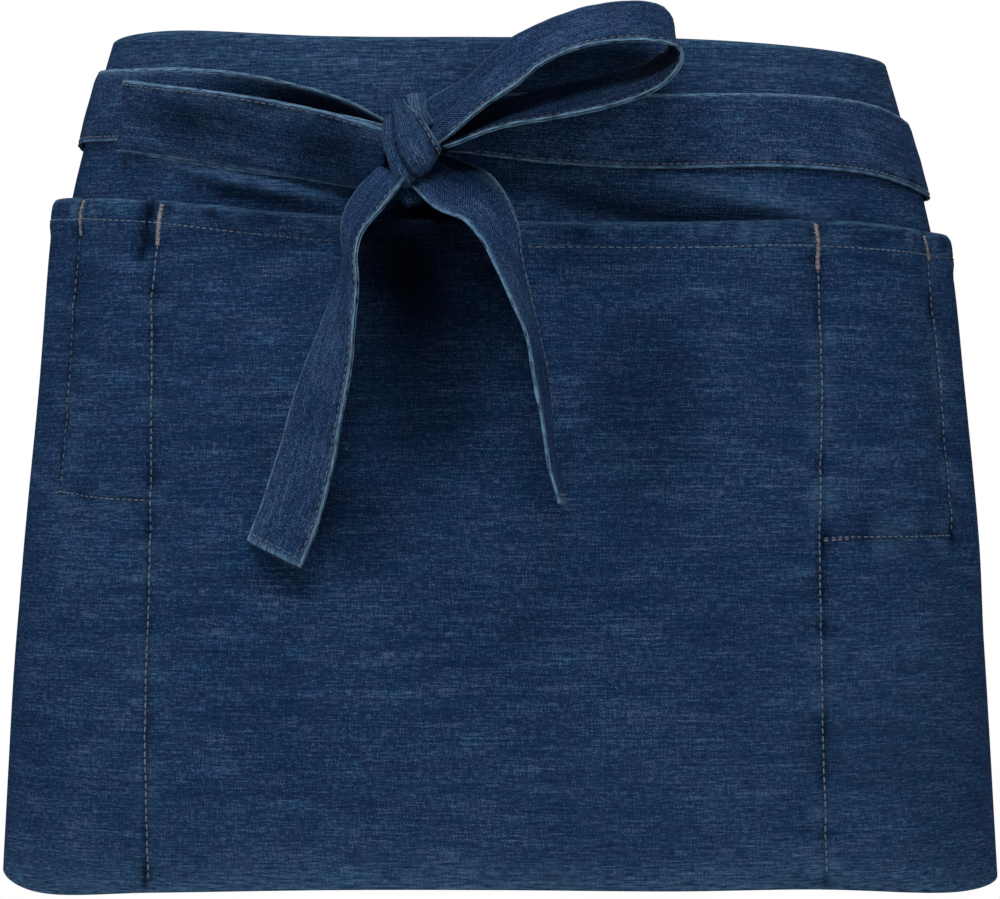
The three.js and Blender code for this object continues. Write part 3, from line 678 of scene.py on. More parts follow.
def panel_shell():
    """The rear layer, from the waist hem to just above the turn at its lower edge."""
    u = cloth_places(PANEL_COLUMN_MM)[None, :]
    top = read_column(EDGES, "top", u, "u")
    low = read_column(EDGES, "hem", u, "u") + TURN_RADIUS + PIECE_GAP
    hem_depths = np.arange(0, WAIST_HEM + 3, HEM_ROW_MM)
    z = rows_down(top, hem_depths, low, round(PANEL_HEIGHT / PANEL_ROW_MM))
    depth = top - z
    ripple = WAIST_RIPPLE * soft_noise(u, depth, 15, 30, 8) * np.exp(-depth / WAIST_HEM)
    lift = panel_lift(u, z) + ripple
    second_layer = 1 - smooth_step(WAIST_HEM, WAIST_HEM + HEM_STEP, depth)
    worn = 0.25 * np.exp(-depth / 1.2) + 0.1 * fade(depth - WAIST_HEM, 1.5)
    # Painted light: paler towards the top of the waist.
    worn = worn + WAIST_PAINTED_LIGHT * smooth_step(-10, 30, z)
    # Painted shade from the table of ovals.
    light = 1 - oval_shade(SHADES, u, z)
    for fold in DRAG_FOLDS:
        near = fold_near(fold, u, z, FOLD_REACH)
        # Fold ridges get a painted highlight, fold hollows painted shade.
        ridge = fold["height"] > 0
        worn = worn + (FOLD_PAINTED_HIGHLIGHT if ridge else -FOLD_PAINTED_HIGHLIGHT) * near
        light = light * (1 - (0 if ridge else FOLD_SHADE) * near)
    shade = 1 - light
    worn = np.clip(worn, 0, 1) * light
    outer = with_wear_and_shade(on_form(u, z, lift + CLOTH), u, z, worn, shade)
    inner = with_wear_and_shade(on_form(u, z, lift - CLOTH * second_layer), u, z, worn, 0)
    return closed_sheet(outer, inner)


panel = make_piece("apron_panel_cloth", panel_shell(), panel_denim, reverse_denim)
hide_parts("apron_panel")

# %% [markdown]
# ## The pocket layer
# A second layer covers the front and the sides. Its mouth is hemmed and stands off the panel, and rows of
# stitching draw it in. Where denim is sewn and then washed, it shrinks between the stitches and puckers: the
# hem ripples between its edge and its stitching, and short creases lie across every seam. Those creases are
# real relief here, and the same noise that lifts them also fades their dye on the ridges, as washing does,
# and lays painted shade in their hollows. Beside the bar tacks the cloth is drawn in and darkened with
# painted shade, and two wide patches near the lower edge are painted a little paler, as painted light.

# %% Relief of the pocket layer
HEM_BEYOND_STITCH = 0.6
OUTER_HEM_STEP = 7
HEM_PUCKER = 0.55
HEM_GROOVE = 0.35
RIM_ROUNDING = 0.55
SEAM_REACH = 14
SEAM_GROOVE = 0.45
SEAM_PUCKER = 0.4
LOWER_EDGE_WEAR = 0.35
LOWER_EDGE_REACH = 9
DARKEST_RELIEF_SHADE = 0.8
TACK_PUCKERS = [
    {"line": (-149.6, -26, -155.4, -50), "share": 1.5},
    {"line": (-139.5, -29, -141.5, -38), "share": 0.5},
    {"line": (130, -37, 131, -50), "share": 0.6},
    {"line": (138, -37, 139.5, -47), "share": 0.5},
]
# Painted light: two wide patches near the lower edge are painted a little paler.
PAINTED_LIGHT_PATCHES = [
    {"at": (160, -245), "half": (80, 62), "depth": 0.06},
    {"at": (30, -268), "half": (62, 26), "depth": 0.04},
]


def pocket_room(u, z):
    """Room between panel and pocket, widest at the mouth and closed at the hem and at every seam."""
    mouth = read_column(EDGES, "mouth", u, "u")
    hem = read_column(EDGES, "hem", u, "u")
    room = read_column(EDGES, "room", u, "u")
    openness = np.clip((z - hem) / (mouth - hem), 0, 1)
    pull = 1.0
    for row in SEWN_ROWS + SIDE_SEAMS:
        pull = pull * (1 - fade(distance_to(row, u, z), SEAM_REACH))
    slack = 1.1 * soft_noise(u, z, 62, 80, 12) * np.clip(openness * 2, 0, 1) * pull
    return LAYER_ROOM + (room - LAYER_ROOM) * openness * pull + np.maximum(slack, -0.6 * openness)


def hem_pucker(u, depth, stitch):
    """Ripples of the mouth hem between its edge and its stitching, from -1 to 1."""
    broad = soft_noise(u, depth, 7, 11, 21)
    fine = soft_noise(u, depth, 3.4, 14, 22)
    inside = np.clip(depth / stitch, 0, 1)
    return (0.7 * broad + 0.4 * fine) * np.sin(np.pi * inside**0.8) ** 0.7 * (depth < stitch)


def seam_creases(u, z):
    """Short creases that lie across each row of stitching, from -1 to 1, and nearness to a row."""
    creases = 0.0
    nearness = 0.0
    for k, row in enumerate(SEWN_ROWS):
        near = fade(distance_to(row, u, z), 6.5)
        level = abs(row[2] - row[0]) > abs(row[3] - row[1])
        run = u if level else z
        creases = creases + near * soft_noise(run, 0 * run, 6.5, 1, 31 + k)
        nearness = np.maximum(nearness, fade(distance_to(row, u, z), 1.5))
    return creases, nearness


def pocket_front(u, z):
    """Distance of the pocket's outer face from the worn form, its wear and painted light, and its painted
    shade.
    """
    depth = read_column(EDGES, "mouth", u, "u") - z
    height = z - read_column(EDGES, "hem", u, "u")
    stitch = read_column(EDGES, "stitch", u, "u")
    hem_end = stitch + HEM_BEYOND_STITCH
    layers = 2 - smooth_step(hem_end, hem_end + OUTER_HEM_STEP, depth)
    pucker = hem_pucker(u, depth, stitch)
    creases, nearness = seam_creases(u, z)
    groove = HEM_GROOVE * fade(depth - stitch, 0.9) + SEAM_GROOVE * nearness
    relief = HEM_PUCKER * pucker + SEAM_PUCKER * creases - groove
    relief = relief - RIM_ROUNDING * np.exp(-np.maximum(depth, 0) / 0.9)
    rim = np.exp(-np.maximum(depth, 0) / 0.7)
    lower_edge = np.exp(-np.maximum(height, 0) / LOWER_EDGE_REACH)
    worn = 0.4 * rim + 0.5 * np.clip(pucker, 0, 1) + 0.3 * np.clip(creases, 0, 1)
    worn = worn + LOWER_EDGE_WEAR * lower_edge + oval_shade(PAINTED_LIGHT_PATCHES, u, z)
    # Painted shade in the hollows of puckers and creases; the rows of stitching are darker too.
    dark = 0.75 * np.clip(-pucker, 0, 1) + 0.4 * np.clip(-creases, 0, 1) + 0.5 * nearness
    # Painted shade where the bar tacks draw the cloth in.
    for fold in TACK_PUCKERS:
        near = fold["share"] * fade(distance_to(fold["line"], u, z), 2.4)
        relief = relief - near
        dark = dark + 0.6 * near
    off = CLOTH + pocket_room(u, z) + CLOTH * layers + relief
    dark = np.clip(dark, 0, DARKEST_RELIEF_SHADE)
    shade = oval_shade(SHADES, u, z)
    return off, np.clip(worn, 0, 1) * (1 - shade), dark + (1 - dark) * shade


front_off = pocket_front(np.array(0.0), np.array(-50.0))[0]
print("pocket stands off at the front:", round(float(front_off), 2), "mm")

# %% [markdown]
# The pocket is the same length of denim, turned up at the lower edge. So its grid runs from the mouth down to
# that edge and on round the turn, with the closest rows in the mouth hem, where the puckers are.

# %% The pocket
POCKET_HEIGHT = 258
POCKET_COLUMN_MM = 2.5
POCKET_ROW_MM = 2.6
MOUTH_ROW_MM = 0.9
MOUTH_ROWS_DEPTH = 12.6
TURN_STEPS = 8
TURN_WEAR = 0.4
SETTLE_MM = 6


def pocket_shell():
    """The front layer, from its hemmed mouth down to the lower edge and round the turn."""
    u = cloth_places(POCKET_COLUMN_MM)[None, :]
    mouth = read_column(EDGES, "mouth", u, "u") + 0.25 * soft_noise(u, 0 * u, 14, 1, 25)
    hem = read_column(EDGES, "hem", u, "u")
    hem_depths = np.arange(0, MOUTH_ROWS_DEPTH, MOUTH_ROW_MM)
    z = rows_down(mouth, hem_depths, hem + TURN_RADIUS, round(POCKET_HEIGHT / POCKET_ROW_MM))
    off, worn, dark = pocket_front(u, z)
    settle = smooth_step(0, SETTLE_MM, z - hem - TURN_RADIUS)
    off = 2 * TURN_RADIUS + (off - 2 * TURN_RADIUS) * settle
    back = np.minimum(CLOTH + pocket_room(u, z), off - CLOTH)
    back = CLOTH + LAYER_ROOM + (back - CLOTH - LAYER_ROOM) * settle
    outer = with_wear_and_shade(on_form(u, z, off), u, z, worn, dark)
    inner = with_wear_and_shade(on_form(u, z, back), u, z, worn, dark)
    turns = np.linspace(0, np.pi, TURN_STEPS + 1)[1:, None]
    turned = []
    for radius in (TURN_RADIUS, TURN_RADIUS - CLOTH):
        turned_z = hem + TURN_RADIUS - radius * np.sin(turns)
        around = on_form(u, turned_z, TURN_RADIUS + radius * np.cos(turns))
        turned.append(with_wear_and_shade(around, u, turned_z, TURN_WEAR, 0))
    return closed_sheet(np.concatenate([outer, turned[0]]), np.concatenate([inner, turned[1]]))


pocket = make_piece("pocket_panel_cloth", pocket_shell(), panel_denim, reverse_denim)
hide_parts("pocket_panel")

# %% [markdown]
# ## Ties
# Each tie is a strip of denim folded double, with its raw edges turned in and stitched close to one edge.
# Its edges are folds, so they are round, puff up outside the stitching and wear pale. All strips of the bow
# are made by one function from a face: a rule that gives the point at a distance s along the strip, v across
# it from edge to edge (-1 to 1), and out from its middle. Ties that lie on the waist use the worn form. The
# free strips follow a route in space with a direction across, and can roll their section into an arc.

# %% Faces of laid and free strips
TIE_WIDTH = 29
TIE_THICK = 2.2
ROUTE_NUDGE = 0.1


def laid_face(route, key=None, nudge=0.033, tilt=None):
    """The face of a strip that lies along the worn form, read by u or by the number of the row."""

    def face(s, v, out):
        s, v, out = np.broadcast_arrays(s, v, out)
        places = (s, s - nudge, s + nudge)
        at, before, after = ({c: read_column(route, c, place, key) for c in route} for place in places)
        run = after["u"] - before["u"]
        climb = after["off"] - before["off"]
        pace = np.hypot(run, climb)
        lean = np.arctan2(after["z"] - before["z"], run) if tilt is None else tilt
        across = v * at["width"] / 2
        u = at["u"] - across * np.sin(lean) - out * climb / pace
        return on_form(u, at["z"] + across * np.cos(lean), at["off"] + out * run / pace)

    return face


def free_face(route):
    """The face of a strip that runs free in space, its section bent to an arc."""
    last = len(route["x"]) - 1

    def columns(names, s):
        return np.stack([read_column(route, name, s) for name in names], axis=-1)

    def face(s, v, out):
        s, v, out = np.broadcast_arrays(s, v, out)
        ahead = columns("xyz", np.minimum(s + ROUTE_NUDGE, last))
        along = unit(ahead - columns("xyz", np.maximum(s - ROUTE_NUDGE, 0)))
        across = columns(("ax", "ay", "az"), s)
        across = unit(across - along * (across * along).sum(-1, keepdims=True))
        facing = np.cross(along, across)
        bend = np.radians(read_column(route, "bend", s))
        radius = read_column(route, "width", s) / bend
        turn = v / 2 * bend
        sideways = ((radius + out) * np.sin(turn))[..., None]
        forward = ((radius + out) * np.cos(turn) - radius)[..., None]
        return columns("xyz", s) + across * sideways + facing * forward

    return face


print("tie:", TIE_WIDTH, "mm wide,", TIE_THICK, "mm thick")

# %% [markdown]
# The section of a tie is not a flat bar. It is thinner along the stitching, which pulls the layers together,
# and fuller at the folded edge outside it. The edge also ropes a little: it swells and sinks along its length
# as the thread tightens. The points across are packed near the edges, where all of that happens.

# %% The section of a tie
STITCH_INSET = 1.4
ACROSS = np.array([0, 0.5, 0.9, 1.4, 2.1, 3.6, 6.3, 9.5, 12.5]) / (TIE_WIDTH / 2) - 1
ACROSS = np.concatenate([ACROSS, [0], -ACROSS[::-1]])
STRIP_MM = 2.0
TIE_GROOVE = 0.25
TIE_ROPING = 0.13
SEWN_EDGE_THINNER = 0.24
FOLD_EDGE_THINNER = 0.4


def half_thickness(run, edge, sewn):
    """Half the thickness of a tie at a distance from its nearer edge, which is sewn or folded."""
    groove = TIE_GROOVE * fade(edge - STITCH_INSET, 0.7) * sewn
    roping = TIE_ROPING * soft_noise(run, 0 * run, 4.2, 1, 41) * fade(edge, 2)
    thinner = np.where(sewn, SEWN_EDGE_THINNER, FOLD_EDGE_THINNER) * fade(edge, 1.6)
    return TIE_THICK / 2 - groove + roping - thinner


def lengthwise(face, first, last, spacing=STRIP_MM):
    """Places along a strip about one spacing apart, and the distance run to each."""
    fine = np.linspace(first, last, 1500)
    run = path_run(face(fine, 0.0, 0.0))
    even = np.linspace(0, run[-1], max(round(run[-1] / spacing), 8) + 1)
    return np.interp(even, run, fine), even


print("points across a tie:", len(ACROSS))

# %% [markdown]
# A strip also waves a little along its length, and beside the knot it is gathered into folds that run along
# it. Every strip starts as the same plain tie. What is different about it, such as its slack, the wear of its
# edges or the painted shade laid on it, is given where it is made.

# %% A tie as a closed strip
GATHER_REACH = 20
TIP_WEAR = 0.6


def slack_wave(run, across, tie):
    """How slack and the gathers beside the knot lift the middle of a strip."""
    seed = tie["seed"]
    slack = tie["slack"] * soft_noise(run, across, 24, 11, seed)
    wave = slack + 0.12 * soft_noise(run, across, 7, 5, seed + 1)
    gathers = soft_noise(run, across, 45, 4.2, seed + 3)
    start_gather = tie["gathers"][0] * fade(run, GATHER_REACH)
    end_gather = tie["gathers"][1] * fade(tie["length"] - run, GATHER_REACH)
    return wave + gathers * (start_gather + end_gather)


def plan_strip(face, first, last, sewn, **more):
    """What describes one strip: its face, range and sewn edge, and what differs from a plain tie."""
    length = lengthwise(face, first, last)[1][-1]
    plain = {"slack": 0.45, "seed": 50, "gathers": (0, 0), "width": TIE_WIDTH, "shade": [], "inner_shade": []}
    wear = {"sewn_wear": 0.55, "fold_wear": 0.4, "fold_reach": 0.5, "tucked_shade": 0, "faded": 0}
    own = {"face": face, "range": (first, last), "sewn": sewn, "length": length}
    return {**plain, **wear, **more, **own}


def strip_shade(run, across, tie, side):
    """Depth of the painted shade on one side of a strip. A place below zero counts back from the strip's end.
    """
    listed = tie["shade"] + (tie["inner_shade"] if side < 0 else [])
    ovals = [{**oval, "at": (oval["at"][0] % tie["length"], oval["at"][1])} for oval in listed]
    return oval_shade(ovals, run + 0 * across, across)


def strip_shell(tie, spacing=STRIP_MM, tip=False):
    """A closed strip of tie with its sewn and folded edges, slack, worn edges and, on a free end, its tip."""
    face, width, sewn, seed = tie["face"], tie["width"], tie["sewn"], tie["seed"]
    s, run = lengthwise(face, *tie["range"], spacing)
    s, run, v = s[None, :], run[None, :], ACROSS[:, None]
    across = v * width / 2
    edge = width / 2 - np.abs(across)
    on_sewn_side = v * sewn > 0
    half = half_thickness(run + 40 * np.sign(v), edge, on_sewn_side)
    wave = slack_wave(run, across, tie)
    pucker = soft_noise(run, across, 5, 6, seed + 2) * fade(edge - STITCH_INSET, 2.6) * on_sewn_side
    sewn_rim = tie["sewn_wear"] * np.exp(-edge / 0.45) * on_sewn_side
    fold_rim = tie["fold_wear"] * np.exp(-edge / tie["fold_reach"]) * ~on_sewn_side
    worn = tie["faded"] + sewn_rim + fold_rim + 0.25 * np.clip(pucker, 0, 1)
    if tip:
        worn = worn + TIP_WEAR * np.exp((run - run.max()) / 0.8)
    # Painted shade beside the stitching and in the hollows of the puckers.
    dark = 0.4 * fade(edge - STITCH_INSET - 0.3, 0.7) * on_sewn_side + 0.3 * np.clip(-pucker, 0, 1)
    # Painted shade on an edge that tucks into the knot.
    dark = dark + tie["tucked_shade"] * np.exp(-edge / 1.4) * ~on_sewn_side
    worn = np.clip(worn, 0, 1) + 0 * run
    grids = []
    for side in (1, -1):
        # Painted shade, kept off the worn rims of the edges.
        shade = strip_shade(run, across, tie, side) * (1 - 0.7 * np.exp(-edge / 0.6))
        grids.append(with_wear_and_shade(face(s, v, wave + side * half), run, across, worn, dark + (1 - dark) * shade))
    return closed_sheet(*grids, (sewn < 0, sewn > 0))


print("strips have a row each", STRIP_MM, "mm")

# %% [markdown]
# The two ties come from the back corners of the panel, cross behind and lie round the waist to the knot.
# Behind, where nothing shows, each takes the plain way round to the far top corner, where it is sewn on.

# %% The waist ties
RIGHT_TIE = {
    "u": [-20, -8, 22, 60, 119, 166, 216, 280, 348, 374, 402, 455, 500, 524, 540, 558],
    "z": [-0.4, 1.2, 0, -1, 0.5, -1.6, -8.4, -10.6, -11.5, -10.5, -5, 5, 14, 19.5, 21, 21.5],
    "off": [4.6, 3.6, 3.4, 3.4, 3.4, 3.4, 3.4, 3.4, 3.6, 4.6, 5.4, 5.6, 5.4, 4.2, 3.4, 3.1],
    "width": [18, 23, 27.5] + [TIE_WIDTH] * 13,
}
LEFT_TIE = {
    "u": [-566, -534, -512, -490, -455, -410, -386, -362, -300, -228, -174, -116, -79, -62, -46, -38],
    "z": [19, 18.5, 14, 9, 3, -6.5, -10.5, -11.5, 2, 12.6, 12.8, 10, 3, -2, -7, -8],
    "off": [3.2, 3.2, 2.9, 2, 1.8, 2.1, 2.7, 3.6, 3.4, 3.4, 3.4, 3.4, 3.5, 3.8, 4.6, 5.2],
    "width": [TIE_WIDTH] * 12 + [28, 26, 20, 17],
}
right_tie_face = laid_face(RIGHT_TIE, "u", 1.2)
left_tie_face = laid_face(LEFT_TIE, "u", 1.2)
# Painted shade on each waist tie beside the knot, deepest on the left tie between its edge and the loop.
right_tie_more = {
    "slack": 0.2,
    "gathers": (0.8, 0),
    "fold_wear": 0.75,
    "shade": [{"at": (0, 0), "half": (40, 40), "depth": 0.32}],
}
left_tie_more = {
    "slack": 0.2,
    "seed": 55,
    "gathers": (0, 0.8),
    "fold_wear": 1.0,
    "fold_reach": 0.9,
    "shade": [
        {"at": (-0.1, 0), "half": (75, 60), "depth": 0.9},
        {"at": (-36, 0), "half": (44, 40), "depth": 0.85},
    ],
}
right_tie = plan_strip(right_tie_face, -20, 558, -1, **right_tie_more)
left_tie = plan_strip(left_tie_face, -566, -38, -1, **left_tie_more)
tie_right = make_piece("waist_tie_right_strip", strip_shell(right_tie), tie_denim)
tie_left = make_piece("waist_tie_left_strip", strip_shell(left_tie), tie_denim)
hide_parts("waist_tie_right")
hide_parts("waist_tie_left")

# %% [markdown]
# ## The bow
# The left loop lies flat along the waist: out from the knot, round a tight turn, and back in front of itself.
# The right loop stands up and open, so its lower run shows its inner side. The two ends hang free, the left
# one twisting until its face shows, the right one until it is edge on. A cloth simulation can tie no bow, so
# the strips follow routes: rows of places with the direction across the strip, and its width.

# %% The loops
LEFT_LOOP = {
    "u": [-42, -62, -100, -136, -154.5, -160, -161.8, -160, -154.5, -128, -98, -71, -54, -44],
    "z": [-10, -8, -2.5, 3.1, 6.3, 7.2, 7.5, 7.4, 6.7, 3.1, -1.5, -7, -11, -12.5],
    "off": [7.2, 6.8, 6.6, 6.6, 6.7, 7.4, 8.8, 10.2, 11, 11.6, 12, 12.2, 12.4, 12],
    "width": [20, 26] + [TIE_WIDTH] * 9 + [28.5, 26, 22],
}
LEFT_LOOP_TILT = math.radians(-10.5)
RIGHT_LOOP = {
    "x": [-28.6, -12.6, 1.8, 13, 31, 50, 62, 67.6, 69.8, 68.4, 60.8, 46.5, 22.5, -1.6, -22],
    "y": [-126, -132, -135, -137, -138, -138, -137, -136, -135, -135, -135, -135, -134, -131, -127],
    "z": [1.6, 12.4, 23.6, 32, 39.5, 42.4, 41.8, 38.2, 32.8, 27, 20, 14.8, 9.4, 3.8, -4.6],
    "ax": [-0.4, -0.33, -0.36, -0.36, -0.2, -0.16, -0.12, -0.12, -0.08, -0.08, -0.1] + [-0.11] * 3 + [-0.1],
    "ay": [0.62, 0.87, 0.84, 0.84, 0.85, 0.84, 0.85, 0.88, 0.91, 0.91, 0.91, 0.89, 0.9, 0.91, 0.93],
    "az": [0.68, 0.37, 0.41, 0.41, 0.52, 0.6, 0.66, 0.7, 0.56, 0.45, 0.41, 0.44, 0.43, 0.4, 0.36],
    "width": [22, 28] + [TIE_WIDTH] * 10 + [28, 25, 20],
    "bend": [30, 12, 8, 8, 8, 8, 8, 6, 4, 4, 4, 4, 4, 8, 16],
}
LOOP_LEAN = (-1.8, 4.2)
LOOP_CURL = (-1.2, 2.2)


def leaning(face):
    """The face of the flat loop, the lower edges of both its runs leaning and curling to the waist."""

    def leant(s, v, out):
        front_run = smooth_step(4.5, 8.5, s)
        lean = LOOP_LEAN[0] + (LOOP_LEAN[1] - LOOP_LEAN[0]) * front_run
        curl = LOOP_CURL[0] + (LOOP_CURL[1] - LOOP_CURL[0]) * front_run
        return face(s, v, out + lean * v - curl * np.clip((-v - 0.55) / 0.45, 0, 1) ** 2)

    return leant


left_loop_face = leaning(laid_face(LEFT_LOOP, tilt=LEFT_LOOP_TILT))
right_loop_face = free_face(RIGHT_LOOP)
# Painted shade near the knot on the flat loop, and inside the standing loop.
left_loop_shade = [
    {"at": (-22, 0), "half": (20, 13), "depth": 0.66},
    {"at": (-82, 2), "half": (30, 9), "depth": 0.55},
    {"at": (-54, -2), "half": (66, 18), "depth": 0.2},
]
right_loop_inner_shade = [
    {"at": (-0.1, -9), "half": (125, 24), "depth": 0.6},
    {"at": (-112, 0), "half": (36, 24), "depth": 0.4},
]
left_loop_more = {
    "slack": 0.7,
    "seed": 60,
    "gathers": (0.8, 1.1),
    "sewn_wear": 0.95,
    "shade": left_loop_shade,
}
right_loop_more = {"seed": 65, "gathers": (1.1, 0.8), "sewn_wear": 0.85, "inner_shade": right_loop_inner_shade}
left_loop = plan_strip(left_loop_face, 0, 13, 1, **left_loop_more)
right_loop = plan_strip(right_loop_face, 0, 14, -1, **right_loop_more)
loop_left = make_piece("bow_loop_left_strip", strip_shell(left_loop), tie_denim)
loop_right = make_piece("bow_loop_right_strip", strip_shell(right_loop), tie_denim)
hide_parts("bow_loop_left")
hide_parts("bow_loop_right")

# %% [markdown]
# The hanging ends are free strips like the standing loop. Each tip is turned in and sewn, so it is worn pale.

# %% The hanging ends
LEFT_END = {
    "x": [-44.6, -52.2, -58, -60.6, -61.4, -64.2, -68.2, -73.4, -78.8, -84.4, -90.8],
    "y": [-130, -133, -137, -139.5, -139, -138, -136, -134, -131.5, -129, -127],
    "z": [-18, -27.4, -38.4, -50, -61.8, -74.8, -93.2, -113.2, -135.4, -154.6, -171],
    "ax": [0.42, 0.31, 0.26, 0.16, 0.24, 0.37, 0.57, 0.68, 0.77, 0.8, 0.76],
    "ay": [-0.77, -0.82, -0.9, -0.97, -0.95, -0.9, -0.8, -0.72, -0.63, -0.57, -0.59],
    "az": [-0.49, -0.48, -0.35, -0.17, -0.19, -0.23, -0.2, -0.15, -0.12, -0.18, -0.27],
    "width": [18, 23, 27] + [TIE_WIDTH] * 8,
    "bend": [30, 20, 12, 8, 6, 6, 6, 6, 6, 6, 6],
}
RIGHT_END = {
    "x": [-29.2, -21.6, -13.2, -5.4, -0.6, 3, 7.4, 12.8, 16.2, 18.6, 20.8, 25.2],
    "y": [-127.5, -131, -136.5, -142, -146.5, -149, -149.5, -149.5, -149.5, -150, -150.5, -151],
    "z": [-16.8, -21.2, -27, -34.8, -43.4, -53.4, -65.8, -82.6, -100.2, -116.2, -132.2, -150.4],
    "ax": [0.52, 0.5, 0.39, 0.32, 0.32, 0.28, 0.23, 0.17, 0.2, 0.15, 0.11, 0.08],
    "ay": [0.54, 0.6, 0.67, 0.82, 0.85, 0.9, 0.94, 0.98, 0.98, 0.99, 0.99, 0.99],
    "az": [0.66, 0.63, 0.63, 0.48, 0.41, 0.33, 0.22, 0.09, 0.03, 0.03, 0.03, 0.04],
    "width": [20, 26] + [TIE_WIDTH] * 10,
    "bend": [30, 20, 14, 10, 8, 6, 6, 6, 6, 6, 6, 6],
}
left_end_face = free_face(LEFT_END)
right_end_face = free_face(RIGHT_END)
# Painted shade where the knot hangs over the top of the right end.
right_end_shade = [{"at": (2, 13), "half": (25, 21), "depth": 0.88}]
left_end_more = {"seed": 70, "gathers": (0.9, 0), "sewn_wear": 0.8, "fold_wear": 0.6}
right_end_more = {"seed": 75, "gathers": (0.9, 0), "fold_wear": 0.7, "shade": right_end_shade}
left_end = plan_strip(left_end_face, 0, 10, 1, **left_end_more)
right_end = plan_strip(right_end_face, 0, 11, 1, **right_end_more)
end_left = make_piece("tie_end_left_strip", strip_shell(left_end, tip=True), tie_denim)
end_right = make_piece("tie_end_right_strip", strip_shell(right_end, tip=True), tie_denim)
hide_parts("tie_end_left")
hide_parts("tie_end_right")

# %% [markdown]
# The knot is the same tie, pulled tight: a rolled wrap over the front, a second one beside it and a fold
# below, with the squeezed bundle inside. Each wrap is a strip whose section is bent round by more than a
# right angle, so it reads as cloth drawn over a bundle.

# %% The knot
FRONT_WRAP = {
    "x": [-41.5, -40.2, -38, -35.3, -31.4, -28.8, -29.5],
    "y": [-124, -132, -137, -140, -140, -136.5, -128],
    "z": [10.5, 7.6, 3.2, -3.5, -11.2, -14.9, -17],
    "ax": [0.9, 0.92, 0.94, 0.97, 0.92, 0.72, 0.68],
    "ay": [0] * 7,
    "az": [0.42, 0.38, 0.35, 0.23, 0.4, 0.69, 0.73],
    "width": [5, 6.5, 10.5, 14, 15, 14, 12],
    "bend": [50, 45, 40, 35, 35, 40, 50],
}
SIDE_WRAP = {
    "x": [-42.6, -42.8, -42, -39.6, -37.4, -36.5],
    "y": [-124, -131, -134.5, -136, -134.5, -127],
    "z": [4.5, 0.5, -6.3, -13.3, -19.3, -22.5],
    "ax": [0.97, 0.98, 0.97, 0.93, 0.9, 0.9],
    "ay": [0] * 6,
    "az": [-0.1, 0.1, 0.25, 0.36, 0.42, 0.42],
    "width": [8, 9, 9.5, 10, 9.5, 9],
    "bend": [80, 75, 70, 70, 75, 80],
}
LOWER_FOLD = {
    "x": [-42.5, -37, -31],
    "y": [-122, -127.5, -122],
    "z": [-22.5, -27.4, -25.5],
    "ax": [0.2, 0, -0.2],
    "ay": [0] * 3,
    "az": [0.98, 1, 0.98],
    "width": [9, 10, 9],
    "bend": [100, 110, 100],
}
TOP_FOLD = {
    "x": [-33.4, -33, -31.8, -29.6],
    "y": [-127, -129.5, -131.5, -131],
    "z": [12.8, 9.6, 5.4, 0.6],
    "ax": [0.9, 0.9, 0.88, 0.86],
    "ay": [0.35] * 4,
    "az": [0.1, 0.2, 0.4, 0.5],
    "width": [7, 6.5, 6, 5.5],
    "bend": [60, 60, 60, 60],
}
BUNDLE_MIDDLE = (-36.5, -125, -9)
BUNDLE_HALF = (8, 7, 14)
BUNDLE_PAINTED_SHADE = 0.4


def tube_faces(rings, sides):
    """Faces of a closed tube whose points come ring by ring: its two ends, then its wall."""
    faces = [list(range(sides)), list(range((rings - 1) * sides, rings * sides))[::-1]]
    for ring in range(rings - 1):
        for side in range(sides):
            here = ring * sides + side
            ahead = ring * sides + (side + 1) % sides
            faces.append([here, here + sides, ahead + sides, ahead])
    return faces


def bundle_shell(rings=21, sides=32):
    """The squeezed cloth inside the knot, as a rounded core darkened with painted shade."""
    points = []
    for ring in range(rings):
        tilt = math.pi * (ring + 0.02) / (rings - 0.96)
        spread = math.sin(tilt)
        for side in range(sides):
            turn = 2 * math.pi * side / sides
            ball = (spread * math.cos(turn), spread * math.sin(turn), math.cos(tilt))
            place = [m + h * c for m, h, c in zip(BUNDLE_MIDDLE, BUNDLE_HALF, ball)]
            points.append(place + [side, ring, 0, BUNDLE_PAINTED_SHADE])
    faces = tube_faces(rings, sides)
    return {"points": np.array(points, float), "faces": faces, "inside": [False] * len(faces)}


# The tucked value is painted shade where an edge tucks into the knot.
front_more = {"slack": 0.4, "seed": 80, "width": 15, "fold_wear": 0, "tucked_shade": 0.6, "faded": 0.05}
side_more = {"slack": 0.7, "seed": 84, "width": 10, "tucked_shade": 0.4, "faded": 0.05}
lower_more = {"slack": 0.5, "seed": 88, "width": 10, "fold_wear": 0, "tucked_shade": 0.4}
top_more = {"slack": 0.5, "seed": 92, "width": 6.5, "faded": 0.2}
front_wrap = plan_strip(free_face(FRONT_WRAP), 0, 6, 1, **front_more)
side_wrap = plan_strip(free_face(SIDE_WRAP), 0, 5, 0, **side_more)
lower_fold = plan_strip(free_face(LOWER_FOLD), 0, 2, 0, **lower_more)
top_fold = plan_strip(free_face(TOP_FOLD), 0, 3, 0, **top_more)
wraps = (front_wrap, side_wrap, lower_fold, top_fold)
knot_shells = [bundle_shell()] + [strip_shell(wrap, spacing=0.8) for wrap in wraps]
knot = make_piece("bow_knot_wraps", join_shells(knot_shells), tie_denim)
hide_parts("bow_knot")

# %% [markdown]
# ## Stitching
# Lockstitch seams show on top as short, slightly bowed pieces of thread with a gap where the thread dives
# into the cloth. They could be a dotted line in the material, but real stitches catch light and cast small
# shadows, so each one is a tiny closed spindle. The rows are measured along the seam and the stitches set at
# an even pitch of about 3.3 mm.

